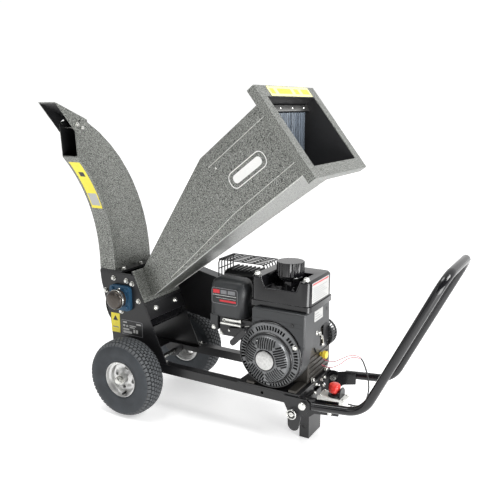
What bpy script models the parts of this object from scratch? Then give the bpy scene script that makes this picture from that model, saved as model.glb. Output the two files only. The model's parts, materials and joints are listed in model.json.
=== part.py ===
"""Wheeled wood chipper with a petrol engine, one object for each sub-part.

Metres, +Z up. +X points to the tow handle, -Y to the recoil starter (right) side,
+Y to the belt side (left). The wheels stand on z = 0.
"""
import math

import bmesh
import bpy
from mathutils import Vector
from mathutils.geometry import tessellate_polygon

GAP = 0.0003                      # clearance between parts that touch

# Wheels and chassis
WHEEL_RADIUS = 0.1325
WHEEL_WIDTH = 0.085
WHEEL_TRACK = 0.367
RIM_RADIUS = 0.061
AXLE_RADIUS = 0.008
RAIL_OUTER = 0.120                # outer face of each rail, from the middle plane
RAIL_SIZE = 0.030
RAIL_WALL = 0.0025
RAIL_BOTTOM = 0.1415
RAIL_TOP = RAIL_BOTTOM + RAIL_SIZE
RAIL_REAR = -0.125
RAIL_FRONT = 0.600
RAIL_INNER = RAIL_OUTER - RAIL_SIZE

# Rotor housing
PLATE = 0.004
HOUSING_RIGHT = -0.1195           # outer face of the right side plate
HOUSING_LEFT = 0.080              # outer face of the left side plate
BASE_TOP = RAIL_TOP + GAP + 0.003
HOUSING_BOTTOM = BASE_TOP + GAP
HOUSING_TOP = 0.465
ROTOR = Vector((-0.061, 0.0, 0.384))
DRUM_RADIUS = 0.054
SHELL_FRONT_RADIUS = 0.140        # the shell spirals in round the rotor, front to rear
SHELL_REAR_RADIUS = 0.070
KNIFE_THICKNESS = 0.008
SHAFT_RADIUS = 0.0125
THROAT_POINT = Vector((-0.0176, 0.0, 0.478))
THROAT_DOWN = Vector((0.4138, 0.0, -0.9104))
THROAT_OUT = Vector((0.9104, 0.0, 0.4138))
THROAT_HEIGHT = 0.1736
THROAT_OPEN = (0.008, 0.102)      # opening, measured down the slanted face
THROAT_Y = (-0.069, 0.039)
FLANGE_HEIGHT = 0.114

# Feed hopper
SHEET = 0.002
KNEE_TOP = Vector((0.268, 0.0, 0.866))
KNEE_BOTTOM = Vector((0.4109, 0.0, 0.6772))
KNEE_Y = (-0.1213, 0.1165)
MOUTH_TOP = Vector((0.490, 0.0, 1.077))
MOUTH_DOWN = Vector((0.6151, 0.0, -0.7884))
MOUTH_OUT = Vector((0.7884, 0.0, 0.6151))
MOUTH_HEIGHT = 0.307
MOUTH_Y = (-0.191, 0.201)
MOUTH_BORDER = 0.040
MOUTH_LIP = 0.026
MOUTH_OPEN = (0.0372, 0.2700)

# Discharge chute
CHUTE_X = (-0.155, -0.090)
CHUTE_WALL = 0.0025
CHUTE_BASE = HOUSING_TOP + GAP + PLATE + GAP + 0.005 + GAP
CHUTE_INNER = (-0.649, 0.500, 0.532)   # centre y, centre z and radius of the concave side
CHUTE_OUTER = (-0.4972, 0.475, 0.5732)
CHUTE_LOW_END = (-0.262, 0.865)
CHUTE_EAR = (-0.268, 0.966)
CHUTE_TOP_END = (-0.226, 0.980)
HOOD_PIVOT = Vector((0.0, -0.242, 0.955))
HOOD_SLOT_RADIUS = 0.0215
HOOD_TRAVEL = 45.0                # degrees that the hood tips down

# Handle
SHELF_TOP = 0.121
PIVOT = Vector((0.624, 0.0, 0.149))
ARM_Y = 0.134
TUBE_RADIUS = 0.013
LOCK_PIN = Vector((0.591, 0.0, 0.116))
LOCK_HOLE = 0.0045
LOCK_SLACK = 4.0                  # degrees that the slot runs on past the handle's travel
HANDLE_TRAVEL = 30.0              # degrees that the handle folds up
ARM_PLATE_END = {"right": 0.735, "left": 0.700}

# Engine
CRANK = Vector((0.505, 0.0, 0.275))
CRANK_RADIUS = 0.0125
ENGINE_PLATE_TOP = RAIL_TOP + GAP + 0.005
ENGINE_BOTTOM = ENGINE_PLATE_TOP + GAP
SHROUD_BACK = -0.053
SHROUD_FRONT = -0.118
COVER_RADIUS = 0.076              # recoil starter's cover
ROPE_START_X = 0.0325             # from the crank's axis
ROPE_START_Z = -0.0215
ROPE_LENGTH = 0.140               # straight run from inside the cover to the grip
TANK_BOTTOM = 0.4275
FUEL_CAP = Vector((0.535, -0.037, 0.5218))
FUEL_CAP_RADIUS = 0.043
PULL_DIRECTION = Vector((-0.866, 0.0, 0.5))

# Belt drive
BELT_Y = (0.139, 0.153)
ROTOR_GROOVE = 0.064
CRANK_GROOVE = 0.037
BELT_THICKNESS = 0.009

BLACK_PAINT = ("black_paint", (0.022, 0.022, 0.024), 0.35, 0.0)
HAMMER_GREY = ("hammer_grey", (0.23, 0.235, 0.225), 0.38, 0.6)
ZINC = ("zinc", (0.62, 0.62, 0.60), 0.3, 1.0)
STEEL = ("bright_steel", (0.55, 0.55, 0.55), 0.28, 1.0)
RUBBER = ("tyre_rubber", (0.03, 0.031, 0.034), 0.8, 0.0)
RIM_SILVER = ("rim_silver", (0.72, 0.72, 0.72), 0.35, 0.5)
BEARING_BLUE = ("bearing_blue", (0.02, 0.07, 0.14), 0.4, 0.2)
SATIN_GREY = ("satin_dark_grey", (0.075, 0.078, 0.082), 0.42, 0.1)
GLOSS_BLACK = ("gloss_black", (0.012, 0.012, 0.013), 0.15, 0.0)
ALUMINIUM = ("cast_aluminium", (0.36, 0.33, 0.29), 0.5, 0.8)
BLACK_PLASTIC = ("black_plastic", (0.02, 0.02, 0.02), 0.5, 0.0)
RED_PLASTIC = ("red_plastic", (0.75, 0.06, 0.05), 0.35, 0.0)
WHITE_PLASTIC = ("white_plastic", (0.82, 0.82, 0.80), 0.4, 0.0)
YELLOW_PLASTIC = ("yellow_plastic", (0.80, 0.62, 0.08), 0.4, 0.0)
CLEAR_PVC = ("curtain_pvc", (0.16, 0.18, 0.20), 0.25, 0.0)
PINK_WIRE = ("pink_wire", (0.75, 0.30, 0.32), 0.45, 0.0)


def clear_scene():
    for item in list(bpy.data.objects):
        bpy.data.objects.remove(item, do_unlink=True)


def paint(spec):
    name, colour, roughness, metallic = spec
    found = bpy.data.materials.get(name)
    if found:
        return found
    made = bpy.data.materials.new(name)
    made.use_nodes = True
    shader = made.node_tree.nodes["Principled BSDF"]
    shader.inputs["Base Color"].default_value = (*colour, 1.0)
    shader.inputs["Roughness"].default_value = roughness
    shader.inputs["Metallic"].default_value = metallic
    made.diffuse_color = (*colour, 1.0)
    return made


def solid(name, spec, verts, faces, origin=(0, 0, 0), bevel=0.0):
    """A closed body from points in world metres, with its origin where it is asked for."""
    start = Vector(origin)
    mesh = bpy.data.meshes.new(name)
    builder = bmesh.new()
    made = [builder.verts.new(Vector(point) - start) for point in verts]
    for face in faces:
        builder.faces.new([made[index] for index in face])
    bmesh.ops.recalc_face_normals(builder, faces=builder.faces)
    builder.to_mesh(mesh)
    builder.free()
    item = bpy.data.objects.new(name, mesh)
    item.location = start
    bpy.context.collection.objects.link(item)
    mesh.materials.append(paint(spec))
    if bevel > 0.0:
        rounding = item.modifiers.new("edge", "BEVEL")
        rounding.width = bevel
        rounding.segments = 1
        rounding.limit_method = "ANGLE"
        rounding.angle_limit = math.radians(40)
    return item


def bake(item):
    """Make what the modifiers give the object's own mesh."""
    bpy.context.view_layer.update()
    graph = bpy.context.evaluated_depsgraph_get()
    result = bpy.data.meshes.new_from_object(item.evaluated_get(graph))
    item.modifiers.clear()
    item.data = result


def cut(item, cutters):
    """Take the cutters away from the item, one after another."""
    if item.modifiers:
        bake(item)
    for cutter in cutters:
        cutter.hide_render = True
        cutter.display_type = "WIRE"
        step = item.modifiers.new("cut", "BOOLEAN")
        step.operation = "DIFFERENCE"
        step.solver = "EXACT"
        step.object = cutter
        bake(item)
        bpy.data.objects.remove(cutter, do_unlink=True)
    return item


def weld(item, others):
    """Join shapes that overlap into one body, as welding or casting them together would."""
    if item.modifiers:
        bake(item)
    for other in others:
        step = item.modifiers.new("weld", "BOOLEAN")
        step.operation = "UNION"
        step.solver = "EXACT"
        step.object = other
        bake(item)
        bpy.data.objects.remove(other, do_unlink=True)
    return item


def as_mesh(item):
    """Swap a curve for the mesh it makes, so that it can be welded or can cut."""
    bpy.context.view_layer.update()
    graph = bpy.context.evaluated_depsgraph_get()
    mesh = bpy.data.meshes.new_from_object(item.evaluated_get(graph))
    name = item.name
    place = item.location.copy()
    bpy.data.objects.remove(item, do_unlink=True)
    made = bpy.data.objects.new(name, mesh)
    made.location = place
    bpy.context.collection.objects.link(made)
    return made


def along(axis, first, second, height):
    """A point from two in-plane coordinates and one along the axis."""
    if axis == "X":
        return Vector((height, first, second))
    if axis == "Y":
        return Vector((first, height, second))
    return Vector((first, second, height))


def sheet_part(name, spec, place, outline, low, high, holes=(), origin=(0, 0, 0), bevel=0.0):
    """A plate with holes; place(u, v, h) gives the world point."""
    loops = [list(outline)] + [list(hole) for hole in holes]
    flat = [[Vector((u, v, 0.0)) for u, v in loop] for loop in loops]
    triangles = tessellate_polygon(flat)
    points = [point for loop in loops for point in loop]
    count = len(points)
    verts = [place(u, v, low) for u, v in points] + [place(u, v, high) for u, v in points]
    if holes:
        faces = [tuple(tri) for tri in triangles]
        faces += [tuple(index + count for index in reversed(tri)) for tri in triangles]
    else:
        faces = [tuple(range(count)), tuple(range(2 * count - 1, count - 1, -1))]
    start = 0
    for loop in loops:
        size = len(loop)
        for index in range(size):
            here = start + index
            after = start + (index + 1) % size
            faces.append((here, after, after + count, here + count))
        start += size
    return solid(name, spec, verts, faces, origin, bevel)


def plate(name, spec, axis, outline, low, high, holes=(), origin=(0, 0, 0), bevel=0.0):
    def place(first, second, height):
        return along(axis, first, second, height)
    return sheet_part(name, spec, place, outline, low, high, holes, origin, bevel)


def slanted(point, down, out):
    """Coordinates on a slanted face: u across (Y), v down the face, h out of it."""
    def place(across, below, height):
        return point + down * below + out * height + Vector((0.0, across, 0.0))
    return place


def rectangle(a_low, a_high, b_low, b_high):
    return [(a_low, b_low), (a_high, b_low), (a_high, b_high), (a_low, b_high)]


def block(name, spec, x_span, y_span, z_span, bevel=0.0, origin=(0, 0, 0)):
    outline = rectangle(*x_span, *y_span)
    return plate(name, spec, "Z", outline, z_span[0], z_span[1], (), origin, bevel)


def circle(centre_a, centre_b, radius, steps=16):
    turn = 2.0 * math.pi / steps
    return [(centre_a + radius * math.cos(turn * i), centre_b + radius * math.sin(turn * i))
            for i in range(steps)]


def arc(centre_a, centre_b, radius, start, end, steps):
    """Points on an arc, angles in degrees, both ends included."""
    points = []
    for index in range(steps + 1):
        angle = math.radians(start + (end - start) * index / steps)
        points.append((centre_a + radius * math.cos(angle), centre_b + radius * math.sin(angle)))
    return points


def rounded(a_low, a_high, b_low, b_high, radius, steps=3):
    """A rectangle with round corners."""
    corners = ((a_high - radius, b_high - radius, 0), (a_low + radius, b_high - radius, 90),
               (a_low + radius, b_low + radius, 180), (a_high - radius, b_low + radius, 270))
    points = []
    for centre_a, centre_b, start in corners:
        points += arc(centre_a, centre_b, radius, start, start + 90, steps)
    return points


def lathe(name, spec, axis, centre, profile, steps=24, origin=None):
    """A body of revolution; profile is a list of (radius, height along the axis).

    A profile that begins and ends on the axis is closed by its ends; any other is a ring.
    """
    centre = Vector(centre)
    on_axis = profile[0][0] < 1e-9
    body = profile[1:-1] if on_axis else profile
    verts = []
    for index in range(steps):
        angle = 2.0 * math.pi * index / steps
        for radius, height in body:
            first = radius * math.cos(angle)
            second = radius * math.sin(angle)
            verts.append(centre + along(axis, first, second, height))
    width = len(body)
    faces = []
    for index in range(steps):
        here = index * width
        after = ((index + 1) % steps) * width
        for row in range(width - 1):
            faces.append((here + row, after + row, after + row + 1, here + row + 1))
        if not on_axis:
            faces.append((here + width - 1, after + width - 1, after, here))
    if on_axis:
        for row, height in ((0, profile[0][1]), (width - 1, profile[-1][1])):
            if abs(body[row][1] - height) < 1e-9:
                faces.append(tuple(index * width + row for index in range(steps)))
            else:
                verts.append(centre + along(axis, 0.0, 0.0, height))
                tip = len(verts) - 1
                for index in range(steps):
                    after = ((index + 1) % steps) * width
                    faces.append((index * width + row, after + row, tip))
    return solid(name, spec, verts, faces, centre if origin is None else origin)


def disc(radius, low, high):
    return [(0.0, low), (radius, low), (radius, high), (0.0, high)]


def collar(inner, outer, low, high):
    return [(inner, low), (outer, low), (outer, high), (inner, high)]


def hollow_box(name, spec, x_span, y_span, z_span, wall, open_axis):
    """A square tube, open at both ends along one axis."""
    spans = {"X": x_span, "Y": y_span, "Z": z_span}
    others = [key for key in "XYZ" if key != open_axis]
    first = spans[others[0]]
    second = spans[others[1]]
    outline = rectangle(*first, *second)
    inside = rectangle(first[0] + wall, first[1] - wall, second[0] + wall, second[1] - wall)
    low, high = spans[open_axis]
    return plate(name, spec, open_axis, outline, low, high, (inside,))


def tube(name, spec, points, radius, resolution, origin=(0, 0, 0)):
    """A round bar or cord along points, with filled ends."""
    start = Vector(origin)
    curve = bpy.data.curves.new(name, "CURVE")
    curve.dimensions = "3D"
    curve.bevel_depth = radius
    curve.bevel_resolution = resolution
    curve.use_fill_caps = True
    line = curve.splines.new("POLY")
    line.points.add(len(points) - 1)
    for spot, point in zip(line.points, points):
        spot.co = (*(Vector(point) - start), 1.0)
    item = bpy.data.objects.new(name, curve)
    item.location = start
    bpy.context.collection.objects.link(item)
    curve.materials.append(paint(spec))
    return item


def smooth_route(route, spacing):
    """Evenly spaced points on a smooth curve through the route's own points."""
    fine = []
    points = [Vector(point) for point in route]
    ends = [points[0] * 2 - points[1]] + points + [points[-1] * 2 - points[-2]]
    for index in range(1, len(ends) - 2):
        before, here, after, beyond = ends[index - 1:index + 3]
        for step in range(12):
            t = step / 12
            fine.append(0.5 * ((2 * here) + (after - before) * t
                               + (2 * before - 5 * here + 4 * after - beyond) * t * t
                               + (3 * here - before - 3 * after + beyond) * t ** 3))
    fine.append(points[-1])
    length = sum((b - a).length for a, b in zip(fine, fine[1:]))
    count = max(2, round(length / spacing))
    spaced = [fine[0]]
    walked = 0.0
    target = length / count
    for a, b in zip(fine, fine[1:]):
        run = (b - a).length
        while walked + run >= target * len(spaced) - 1e-9 and len(spaced) < count:
            part = (target * len(spaced) - walked) / run
            spaced.append(a.lerp(b, part))
        walked += run
    spaced.append(fine[-1])
    return spaced


# ---------------------------------------------------------------- chassis

def chassis():
    for side, sign in (("right", -1), ("left", 1)):
        spans = sorted((sign * RAIL_OUTER, sign * RAIL_INNER))
        rail = hollow_box(f"rail_{side}", BLACK_PAINT, (RAIL_REAR, RAIL_FRONT), spans,
                          (RAIL_BOTTOM, RAIL_TOP), RAIL_WALL, "X")
        holes = []
        for number, x in enumerate((0.483, 0.563)):
            holes.append(lathe(f"hole_{side}_{number}", BLACK_PAINT, "Y", (x, 0, RAIL_TOP - 0.015),
                               disc(0.0045, spans[0] - 0.01, spans[1] + 0.01), 12))
        cut(rail, holes)
        weld(rail, [axle_bracket(side, sign)])
    reach = RAIL_INNER - GAP
    member = hollow_box("front_cross_member", BLACK_PAINT, (RAIL_FRONT - RAIL_SIZE, RAIL_FRONT),
                        (-reach, reach), (RAIL_BOTTOM, RAIL_TOP), RAIL_WALL, "Y")
    weld(member, [switch_shelf()])
    right = -RAIL_INNER - 0.002
    left = HOUSING_LEFT - 0.018
    outline = [(-0.112, -RAIL_OUTER), (0.124, -RAIL_OUTER), (0.124, right), (0.0, right), (0.0, left),
               (0.124, left), (0.124, RAIL_OUTER), (-0.112, RAIL_OUTER)]
    plate("housing_base_plate", BLACK_PAINT, "Z", outline, RAIL_TOP + GAP, BASE_TOP)
    feet = [circle(x, y, 0.0045, 10) for x in (0.440, 0.585) for y in (-0.105, 0.105)]
    plate("engine_plate", BLACK_PAINT, "Z", rectangle(0.395, 0.610, -RAIL_OUTER, RAIL_OUTER),
          RAIL_TOP + GAP, ENGINE_PLATE_TOP, feet)


def axle_bracket(side, sign):
    """Ear on the rail's inner face that carries the axle."""
    low, high = sorted((sign * (RAIL_INNER + 0.001), sign * (RAIL_INNER - 0.005)))
    outline = [(-0.035, RAIL_TOP - 0.004), (-0.035, 0.140)]
    outline += arc(0.0, WHEEL_RADIUS, 0.021, 200, 340, 6)
    outline += [(0.035, 0.140), (0.035, RAIL_TOP - 0.004)]
    return plate(f"axle_bracket_{side}", BLACK_PAINT, "Y", outline, low, high,
                 (circle(0.0, WHEEL_RADIUS, AXLE_RADIUS + GAP, 16),))


def switch_shelf():
    """Folded strip that steps over the foot and carries the stop switch."""
    wall = 0.003
    edge = 0.613
    outline = [(0.5985, 0.1690), (0.5985, 0.1432), (edge, 0.1432), (edge, SHELF_TOP - wall),
               (0.7350, SHELF_TOP - wall), (0.7350, SHELF_TOP), (edge + wall, SHELF_TOP),
               (edge + wall, 0.1432 + wall), (0.5985 + 0.0045, 0.1432 + wall), (0.5985 + 0.0045, 0.1690)]
    return plate("switch_shelf", BLACK_PAINT, "Y", outline, -0.060, 0.000)


def axle():
    """Axle with its end nuts."""
    reach = WHEEL_TRACK / 2 + 0.052
    inner = WHEEL_TRACK / 2 + 0.0345
    outer = inner + 0.009
    half = [(AXLE_RADIUS, inner), (0.0135, inner), (0.0135, outer), (AXLE_RADIUS, outer),
            (AXLE_RADIUS, reach), (0.0, reach)]
    profile = [(radius, -height) for radius, height in reversed(half)] + half
    lathe("axle", STEEL, "Y", (0, 0, WHEEL_RADIUS), profile, 16)


def wheel(side, sign):
    centre = Vector((0.0, sign * WHEEL_TRACK / 2, WHEEL_RADIUS))
    half = WHEEL_WIDTH / 2
    bead = RIM_RADIUS + 0.0006
    tyre = [(bead, -0.033), (0.069, -0.0375), (0.090, -half), (0.111, -half + 0.0005),
            (0.1245, -0.0365), (0.1305, -0.029), (WHEEL_RADIUS, -0.010), (WHEEL_RADIUS, 0.010),
            (0.1305, 0.029), (0.1245, 0.0365), (0.111, half - 0.0005), (0.090, half),
            (0.069, 0.0375), (bead, 0.033), (0.0645, 0.020), (0.0645, -0.020)]
    lathe(f"tyre_{side}", RUBBER, "Y", centre, tyre, 40)
    bore = AXLE_RADIUS + GAP
    rim = [(RIM_RADIUS, -0.0355), (RIM_RADIUS, -0.022), (0.0535, -0.019), (0.0525, -0.004),
           (0.050, 0.004), (0.0525, 0.010), (0.0535, 0.019), (RIM_RADIUS, 0.022),
           (RIM_RADIUS, 0.0355), (0.0585, 0.0355), (0.0575, 0.024), (0.0505, 0.021),
           (0.0475, 0.009), (0.036, 0.0075), (0.019, 0.0115), (0.0155, 0.034), (bore, 0.034),
           (bore, -0.034), (0.0155, -0.034), (0.019, -0.0115), (0.036, -0.0045),
           (0.0475, -0.003), (0.0505, -0.021), (0.0575, -0.024), (0.0585, -0.0355)]
    if sign < 0:
        rim = [(radius, -height) for radius, height in rim]
    lathe(f"rim_{side}", RIM_SILVER, "Y", centre, rim, 28)


def front_foot():
    post = hollow_box("front_foot", BLACK_PAINT, (0.578, 0.610), (-0.046, 0.046),
                      (0.0, RAIL_BOTTOM - GAP), 0.003, "Z")
    slot = rounded(0.587, 0.601, 0.034, 0.044, 0.0045)
    cut(post, [plate("slot", BLACK_PAINT, "Y", slot, -0.06, 0.06)])


# ---------------------------------------------------------------- rotor housing

def side_outline():
    """Side plate of the rotor housing in X and Z; its front edge follows the throat face."""
    def edge_x(height):
        return THROAT_POINT.x + (THROAT_POINT.z - height) * 0.4545
    return [(-0.155, HOUSING_TOP), (-0.151, 0.429), (-0.1395, 0.384), (-0.129, 0.340),
            (-0.117, 0.300), (-0.111, 0.227), (-0.106, HOUSING_BOTTOM),
            (edge_x(HOUSING_BOTTOM), HOUSING_BOTTOM), (edge_x(HOUSING_TOP), HOUSING_TOP)]


def rotor_housing():
    shaft_hole = circle(ROTOR.x, ROTOR.z, SHAFT_RADIUS + 0.004, 20)
    plate("housing_side_right", BLACK_PAINT, "Y", side_outline(), HOUSING_RIGHT,
          HOUSING_RIGHT + PLATE, (shaft_hole,))
    plate("housing_side_left", BLACK_PAINT, "Y", side_outline(), HOUSING_LEFT - PLATE,
          HOUSING_LEFT, (shaft_hole,))
    low = HOUSING_RIGHT + PLATE + GAP
    high = HOUSING_LEFT - PLATE - GAP
    inside = [(0.041, 0.3325)]
    steps = 12
    for index in range(steps + 1):
        share = index / steps
        angle = math.radians(-38 - 142 * share)
        radius = SHELL_FRONT_RADIUS + (SHELL_REAR_RADIUS - SHELL_FRONT_RADIUS) * share ** 1.3
        inside.append((ROTOR.x + radius * math.cos(angle), ROTOR.z + radius * math.sin(angle)))
    inside.append((-0.1492, HOUSING_TOP - GAP))
    thick = 0.003
    outside = []
    for index, point in enumerate(inside):
        before = inside[max(index - 1, 0)]
        after = inside[min(index + 1, len(inside) - 1)]
        along_path = Vector((after[0] - before[0], after[1] - before[1])).normalized()
        outside.append((point[0] - along_path.y * thick, point[1] + along_path.x * thick))
    outside[-1] = (outside[-1][0], HOUSING_TOP - GAP)
    plate("housing_shell", BLACK_PAINT, "Y", inside + outside[::-1], low, high)
    block("anvil_block", STEEL, (0.0055, 0.0250), (low, high), (0.366, 0.3815))


def throat_and_neck():
    place = slanted(THROAT_POINT, THROAT_DOWN, THROAT_OUT)
    opening = rectangle(*THROAT_Y, *THROAT_OPEN)
    sheet_part("throat_frame", BLACK_PAINT, place,
               rectangle(HOUSING_RIGHT, HOUSING_LEFT, 0.0, THROAT_HEIGHT), GAP, GAP + PLATE,
               (opening,))
    low = 2 * GAP + PLATE
    sheet_part("hopper_flange", HAMMER_GREY, place,
               rectangle(HOUSING_RIGHT, HOUSING_LEFT, 0.0, FLANGE_HEIGHT), low, low + 0.003,
               (opening,))
    neck = rectangle(CHUTE_X[0] + 0.005, CHUTE_X[1] - 0.005, -0.110, 0.068)
    low = HOUSING_TOP + GAP
    top = plate("housing_top_plate", BLACK_PAINT, "Z",
                rectangle(CHUTE_X[0], -0.0185, HOUSING_RIGHT, HOUSING_LEFT), low, low + PLATE, (neck,))
    flange = plate("chute_flange", BLACK_PAINT, "Z",
                   rectangle(CHUTE_X[0] + 0.001, -0.060, HOUSING_RIGHT + 0.001, HOUSING_LEFT - 0.001),
                   low + PLATE / 2, CHUTE_BASE - GAP, (neck,))
    weld(top, [flange])


def rotor():
    low = HOUSING_RIGHT + PLATE + 0.010
    high = HOUSING_LEFT - PLATE - 0.010
    lathe("rotor_shaft", STEEL, "Y", ROTOR, disc(SHAFT_RADIUS, -0.156, 0.166), 20)
    bore = SHAFT_RADIUS + GAP
    drum = lathe("rotor_drum", BLACK_PAINT, "Y", ROTOR, collar(bore, DRUM_RADIUS, low, high), 28)
    for number, turn in ((1, 35.0), (2, 215.0)):
        angle = math.radians(turn)
        outward = Vector((math.cos(angle), 0.0, math.sin(angle)))
        across = Vector((-math.sin(angle), 0.0, math.cos(angle)))

        def place(first, second, height, outward=outward, across=across):
            return ROTOR + outward * second + across * first + Vector((0.0, height, 0.0))
        section = [(-0.0125, DRUM_RADIUS - 0.004), (0.0125, DRUM_RADIUS - 0.004),
                   (0.0060, DRUM_RADIUS + KNIFE_THICKNESS), (-0.0125, DRUM_RADIUS + KNIFE_THICKNESS)]
        weld(drum, [sheet_part(f"knife_{number}", STEEL, place, section, low + 0.004, high - 0.004)])
    for side, face, sign in (("right", HOUSING_RIGHT, -1), ("left", HOUSING_LEFT, 1)):
        bearing_unit(side, face, sign)


def bearing_unit(side, face, sign):
    """Square flange bearing with a round boss; the right one is closed by a cap."""
    near = face + sign * GAP
    flange = near + sign * 0.014
    half = 0.043
    outline = rounded(ROTOR.x - half, ROTOR.x + half, ROTOR.z - half, ROTOR.z + half, 0.012, 2)
    low, high = sorted((near, flange))
    bore = circle(ROTOR.x, ROTOR.z, SHAFT_RADIUS + GAP, 20)
    unit = plate(f"bearing_unit_{side}", BEARING_BLUE, "Y", outline, low, high, (bore,))
    if side == "left":
        profile = collar(SHAFT_RADIUS + GAP, 0.031, flange - 0.002, flange + 0.011)
    else:
        end = flange - 0.034
        profile = [(SHAFT_RADIUS + GAP, flange + 0.002), (0.032, flange + 0.002), (0.032, end + 0.005),
                   (0.027, end), (0.0, end), (0.0, end + 0.006), (SHAFT_RADIUS + GAP, end + 0.006)]
        profile = profile[4::-1] + profile[:4:-1]
    weld(unit, [lathe(f"bearing_boss_{side}", BEARING_BLUE, "Y", ROTOR, profile, 24)])


# ---------------------------------------------------------------- feed hopper

def feed_hopper():
    start = THROAT_OUT * (3 * GAP + PLATE + 0.003)
    rings = []
    top = THROAT_POINT + THROAT_DOWN * (THROAT_OPEN[0] - SHEET) + start
    bottom = THROAT_POINT + THROAT_DOWN * (THROAT_OPEN[1] + SHEET) + start
    rings.append((top, bottom, THROAT_Y[0] - SHEET, THROAT_Y[1] + SHEET))
    rings.append((KNEE_TOP, KNEE_BOTTOM, *KNEE_Y))
    back = MOUTH_OUT * -(SHEET + GAP)
    top = MOUTH_TOP + MOUTH_DOWN * (MOUTH_OPEN[0] - SHEET) + back
    bottom = MOUTH_TOP + MOUTH_DOWN * (MOUTH_OPEN[1] + SHEET) + back
    rings.append((top, bottom, MOUTH_Y[0] + MOUTH_BORDER - SHEET,
                  MOUTH_Y[1] - MOUTH_BORDER + SHEET))
    verts = []
    for inset in (0.0, SHEET):
        for top, bottom, right, left in rings:
            up = (top - bottom).normalized() * inset
            low = bottom + up
            high = top - up
            for point, y in ((low, right + inset), (low, left - inset),
                             (high, left - inset), (high, right + inset)):
                verts.append(point + Vector((0.0, y, 0.0)))
    faces = []
    inner = 4 * len(rings)
    for layer in (0, inner):
        for ring in range(len(rings) - 1):
            for corner in range(4):
                a = layer + ring * 4 + corner
                b = layer + ring * 4 + (corner + 1) % 4
                faces.append((a, b, b + 4, a + 4))
    for ring in (0, len(rings) - 1):
        for corner in range(4):
            a = ring * 4 + corner
            b = ring * 4 + (corner + 1) % 4
            faces.append((a, b, b + inner, a + inner))
    solid("feed_hopper", HAMMER_GREY, verts, faces)
    mouth_rim()


def mouth_rim():
    """Front frame of the mouth with a lip turned back all round."""
    place = slanted(MOUTH_TOP, MOUTH_DOWN, MOUTH_OUT)
    outer = rectangle(*MOUTH_Y, 0.0, MOUTH_HEIGHT)
    folded = rectangle(MOUTH_Y[0] + SHEET, MOUTH_Y[1] - SHEET, SHEET, MOUTH_HEIGHT - SHEET)
    opening = rectangle(MOUTH_Y[0] + MOUTH_BORDER, MOUTH_Y[1] - MOUTH_BORDER, *MOUTH_OPEN)
    loops = ((outer, 0.0), (outer, -MOUTH_LIP), (folded, -MOUTH_LIP), (folded, -SHEET),
             (opening, -SHEET), (opening, 0.0))
    verts = [place(u, v, height) for loop, height in loops for u, v in loop]
    faces = []
    for ring in range(len(loops)):
        after = (ring + 1) % len(loops)
        for corner in range(4):
            turn = (corner + 1) % 4
            faces.append((ring * 4 + corner, ring * 4 + turn, after * 4 + turn,
                          after * 4 + corner))
    solid("hopper_mouth_rim", HAMMER_GREY, verts, faces)


CURTAIN_TOP = MOUTH_TOP + MOUTH_DOWN * 0.0650 - MOUTH_OUT * 0.0400
CURTAIN_LENGTH = 0.165


def curtain():
    middle = (MOUTH_Y[0] + MOUTH_Y[1]) / 2
    half = 0.122
    flaps = 5
    pitch = 2 * half / flaps
    top = CURTAIN_TOP.z
    outline = [(middle - half, top), (middle + half, top)]
    for number in range(flaps):
        right = middle + half - number * pitch - 0.001
        left = middle + half - (number + 1) * pitch + 0.001
        outline += [(right, top - CURTAIN_LENGTH), (left, top - CURTAIN_LENGTH)]
        if number < flaps - 1:
            outline += [(left, top - 0.020), (left - 0.002, top - 0.020)]
    plate("feed_curtain", CLEAR_PVC, "X", outline, CURTAIN_TOP.x - 0.0015, CURTAIN_TOP.x + 0.0015,
          (), CURTAIN_TOP + Vector((0.0, middle, 0.0)))


# ---------------------------------------------------------------- discharge chute

def chute_curve(circle_data, low, high, steps, shift=0.0):
    """Points (y, z) up one curved side; shift moves it towards the bore."""
    centre_y, centre_z, radius = circle_data
    radius += shift
    points = []
    for index in range(steps + 1):
        height = low + (high - low) * index / steps
        rise = max(height - centre_z, 0.0)
        points.append((centre_y + math.sqrt(radius ** 2 - rise ** 2), height))
    return points


def discharge_chute():
    steps = 12
    near = chute_curve(CHUTE_INNER, CHUTE_BASE, CHUTE_LOW_END[1], steps)
    far = chute_curve(CHUTE_OUTER, CHUTE_BASE, CHUTE_TOP_END[1], steps)
    outline = near + [CHUTE_EAR, (CHUTE_EAR[0] + 0.010, CHUTE_EAR[1] + 0.008)] + far[::-1]
    chute = plate("discharge_chute", HAMMER_GREY, "X", outline, CHUTE_X[0], CHUTE_X[1])
    near = chute_curve(CHUTE_INNER, CHUTE_BASE - 0.01, CHUTE_LOW_END[1] + 0.008, steps, CHUTE_WALL)
    far = chute_curve(CHUTE_OUTER, CHUTE_BASE - 0.01, CHUTE_TOP_END[1] + 0.001, steps, -CHUTE_WALL)
    mouth = [(near[-1][0] - 0.06, near[-1][1] + 0.015), (far[-1][0] - 0.10, far[-1][1] + 0.045)]
    bore = plate("bore", HAMMER_GREY, "X", near + mouth + far[::-1], CHUTE_X[0] + CHUTE_WALL,
                 CHUTE_X[1] - CHUTE_WALL)
    stud = hood_stud_place()
    pins = []
    for name, spot in (("pivot", HOOD_PIVOT), ("lock", stud)):
        pins.append(lathe(f"{name}_hole", HAMMER_GREY, "X", spot,
                          disc(0.0033, CHUTE_X[0] - 0.01, CHUTE_X[1] + 0.01), 12))
    cut(chute, [bore] + pins)


def hood_stud_place():
    angle = math.radians(150)
    return HOOD_PIVOT + Vector((0.0, math.cos(angle), math.sin(angle))) * HOOD_SLOT_RADIUS


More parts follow.
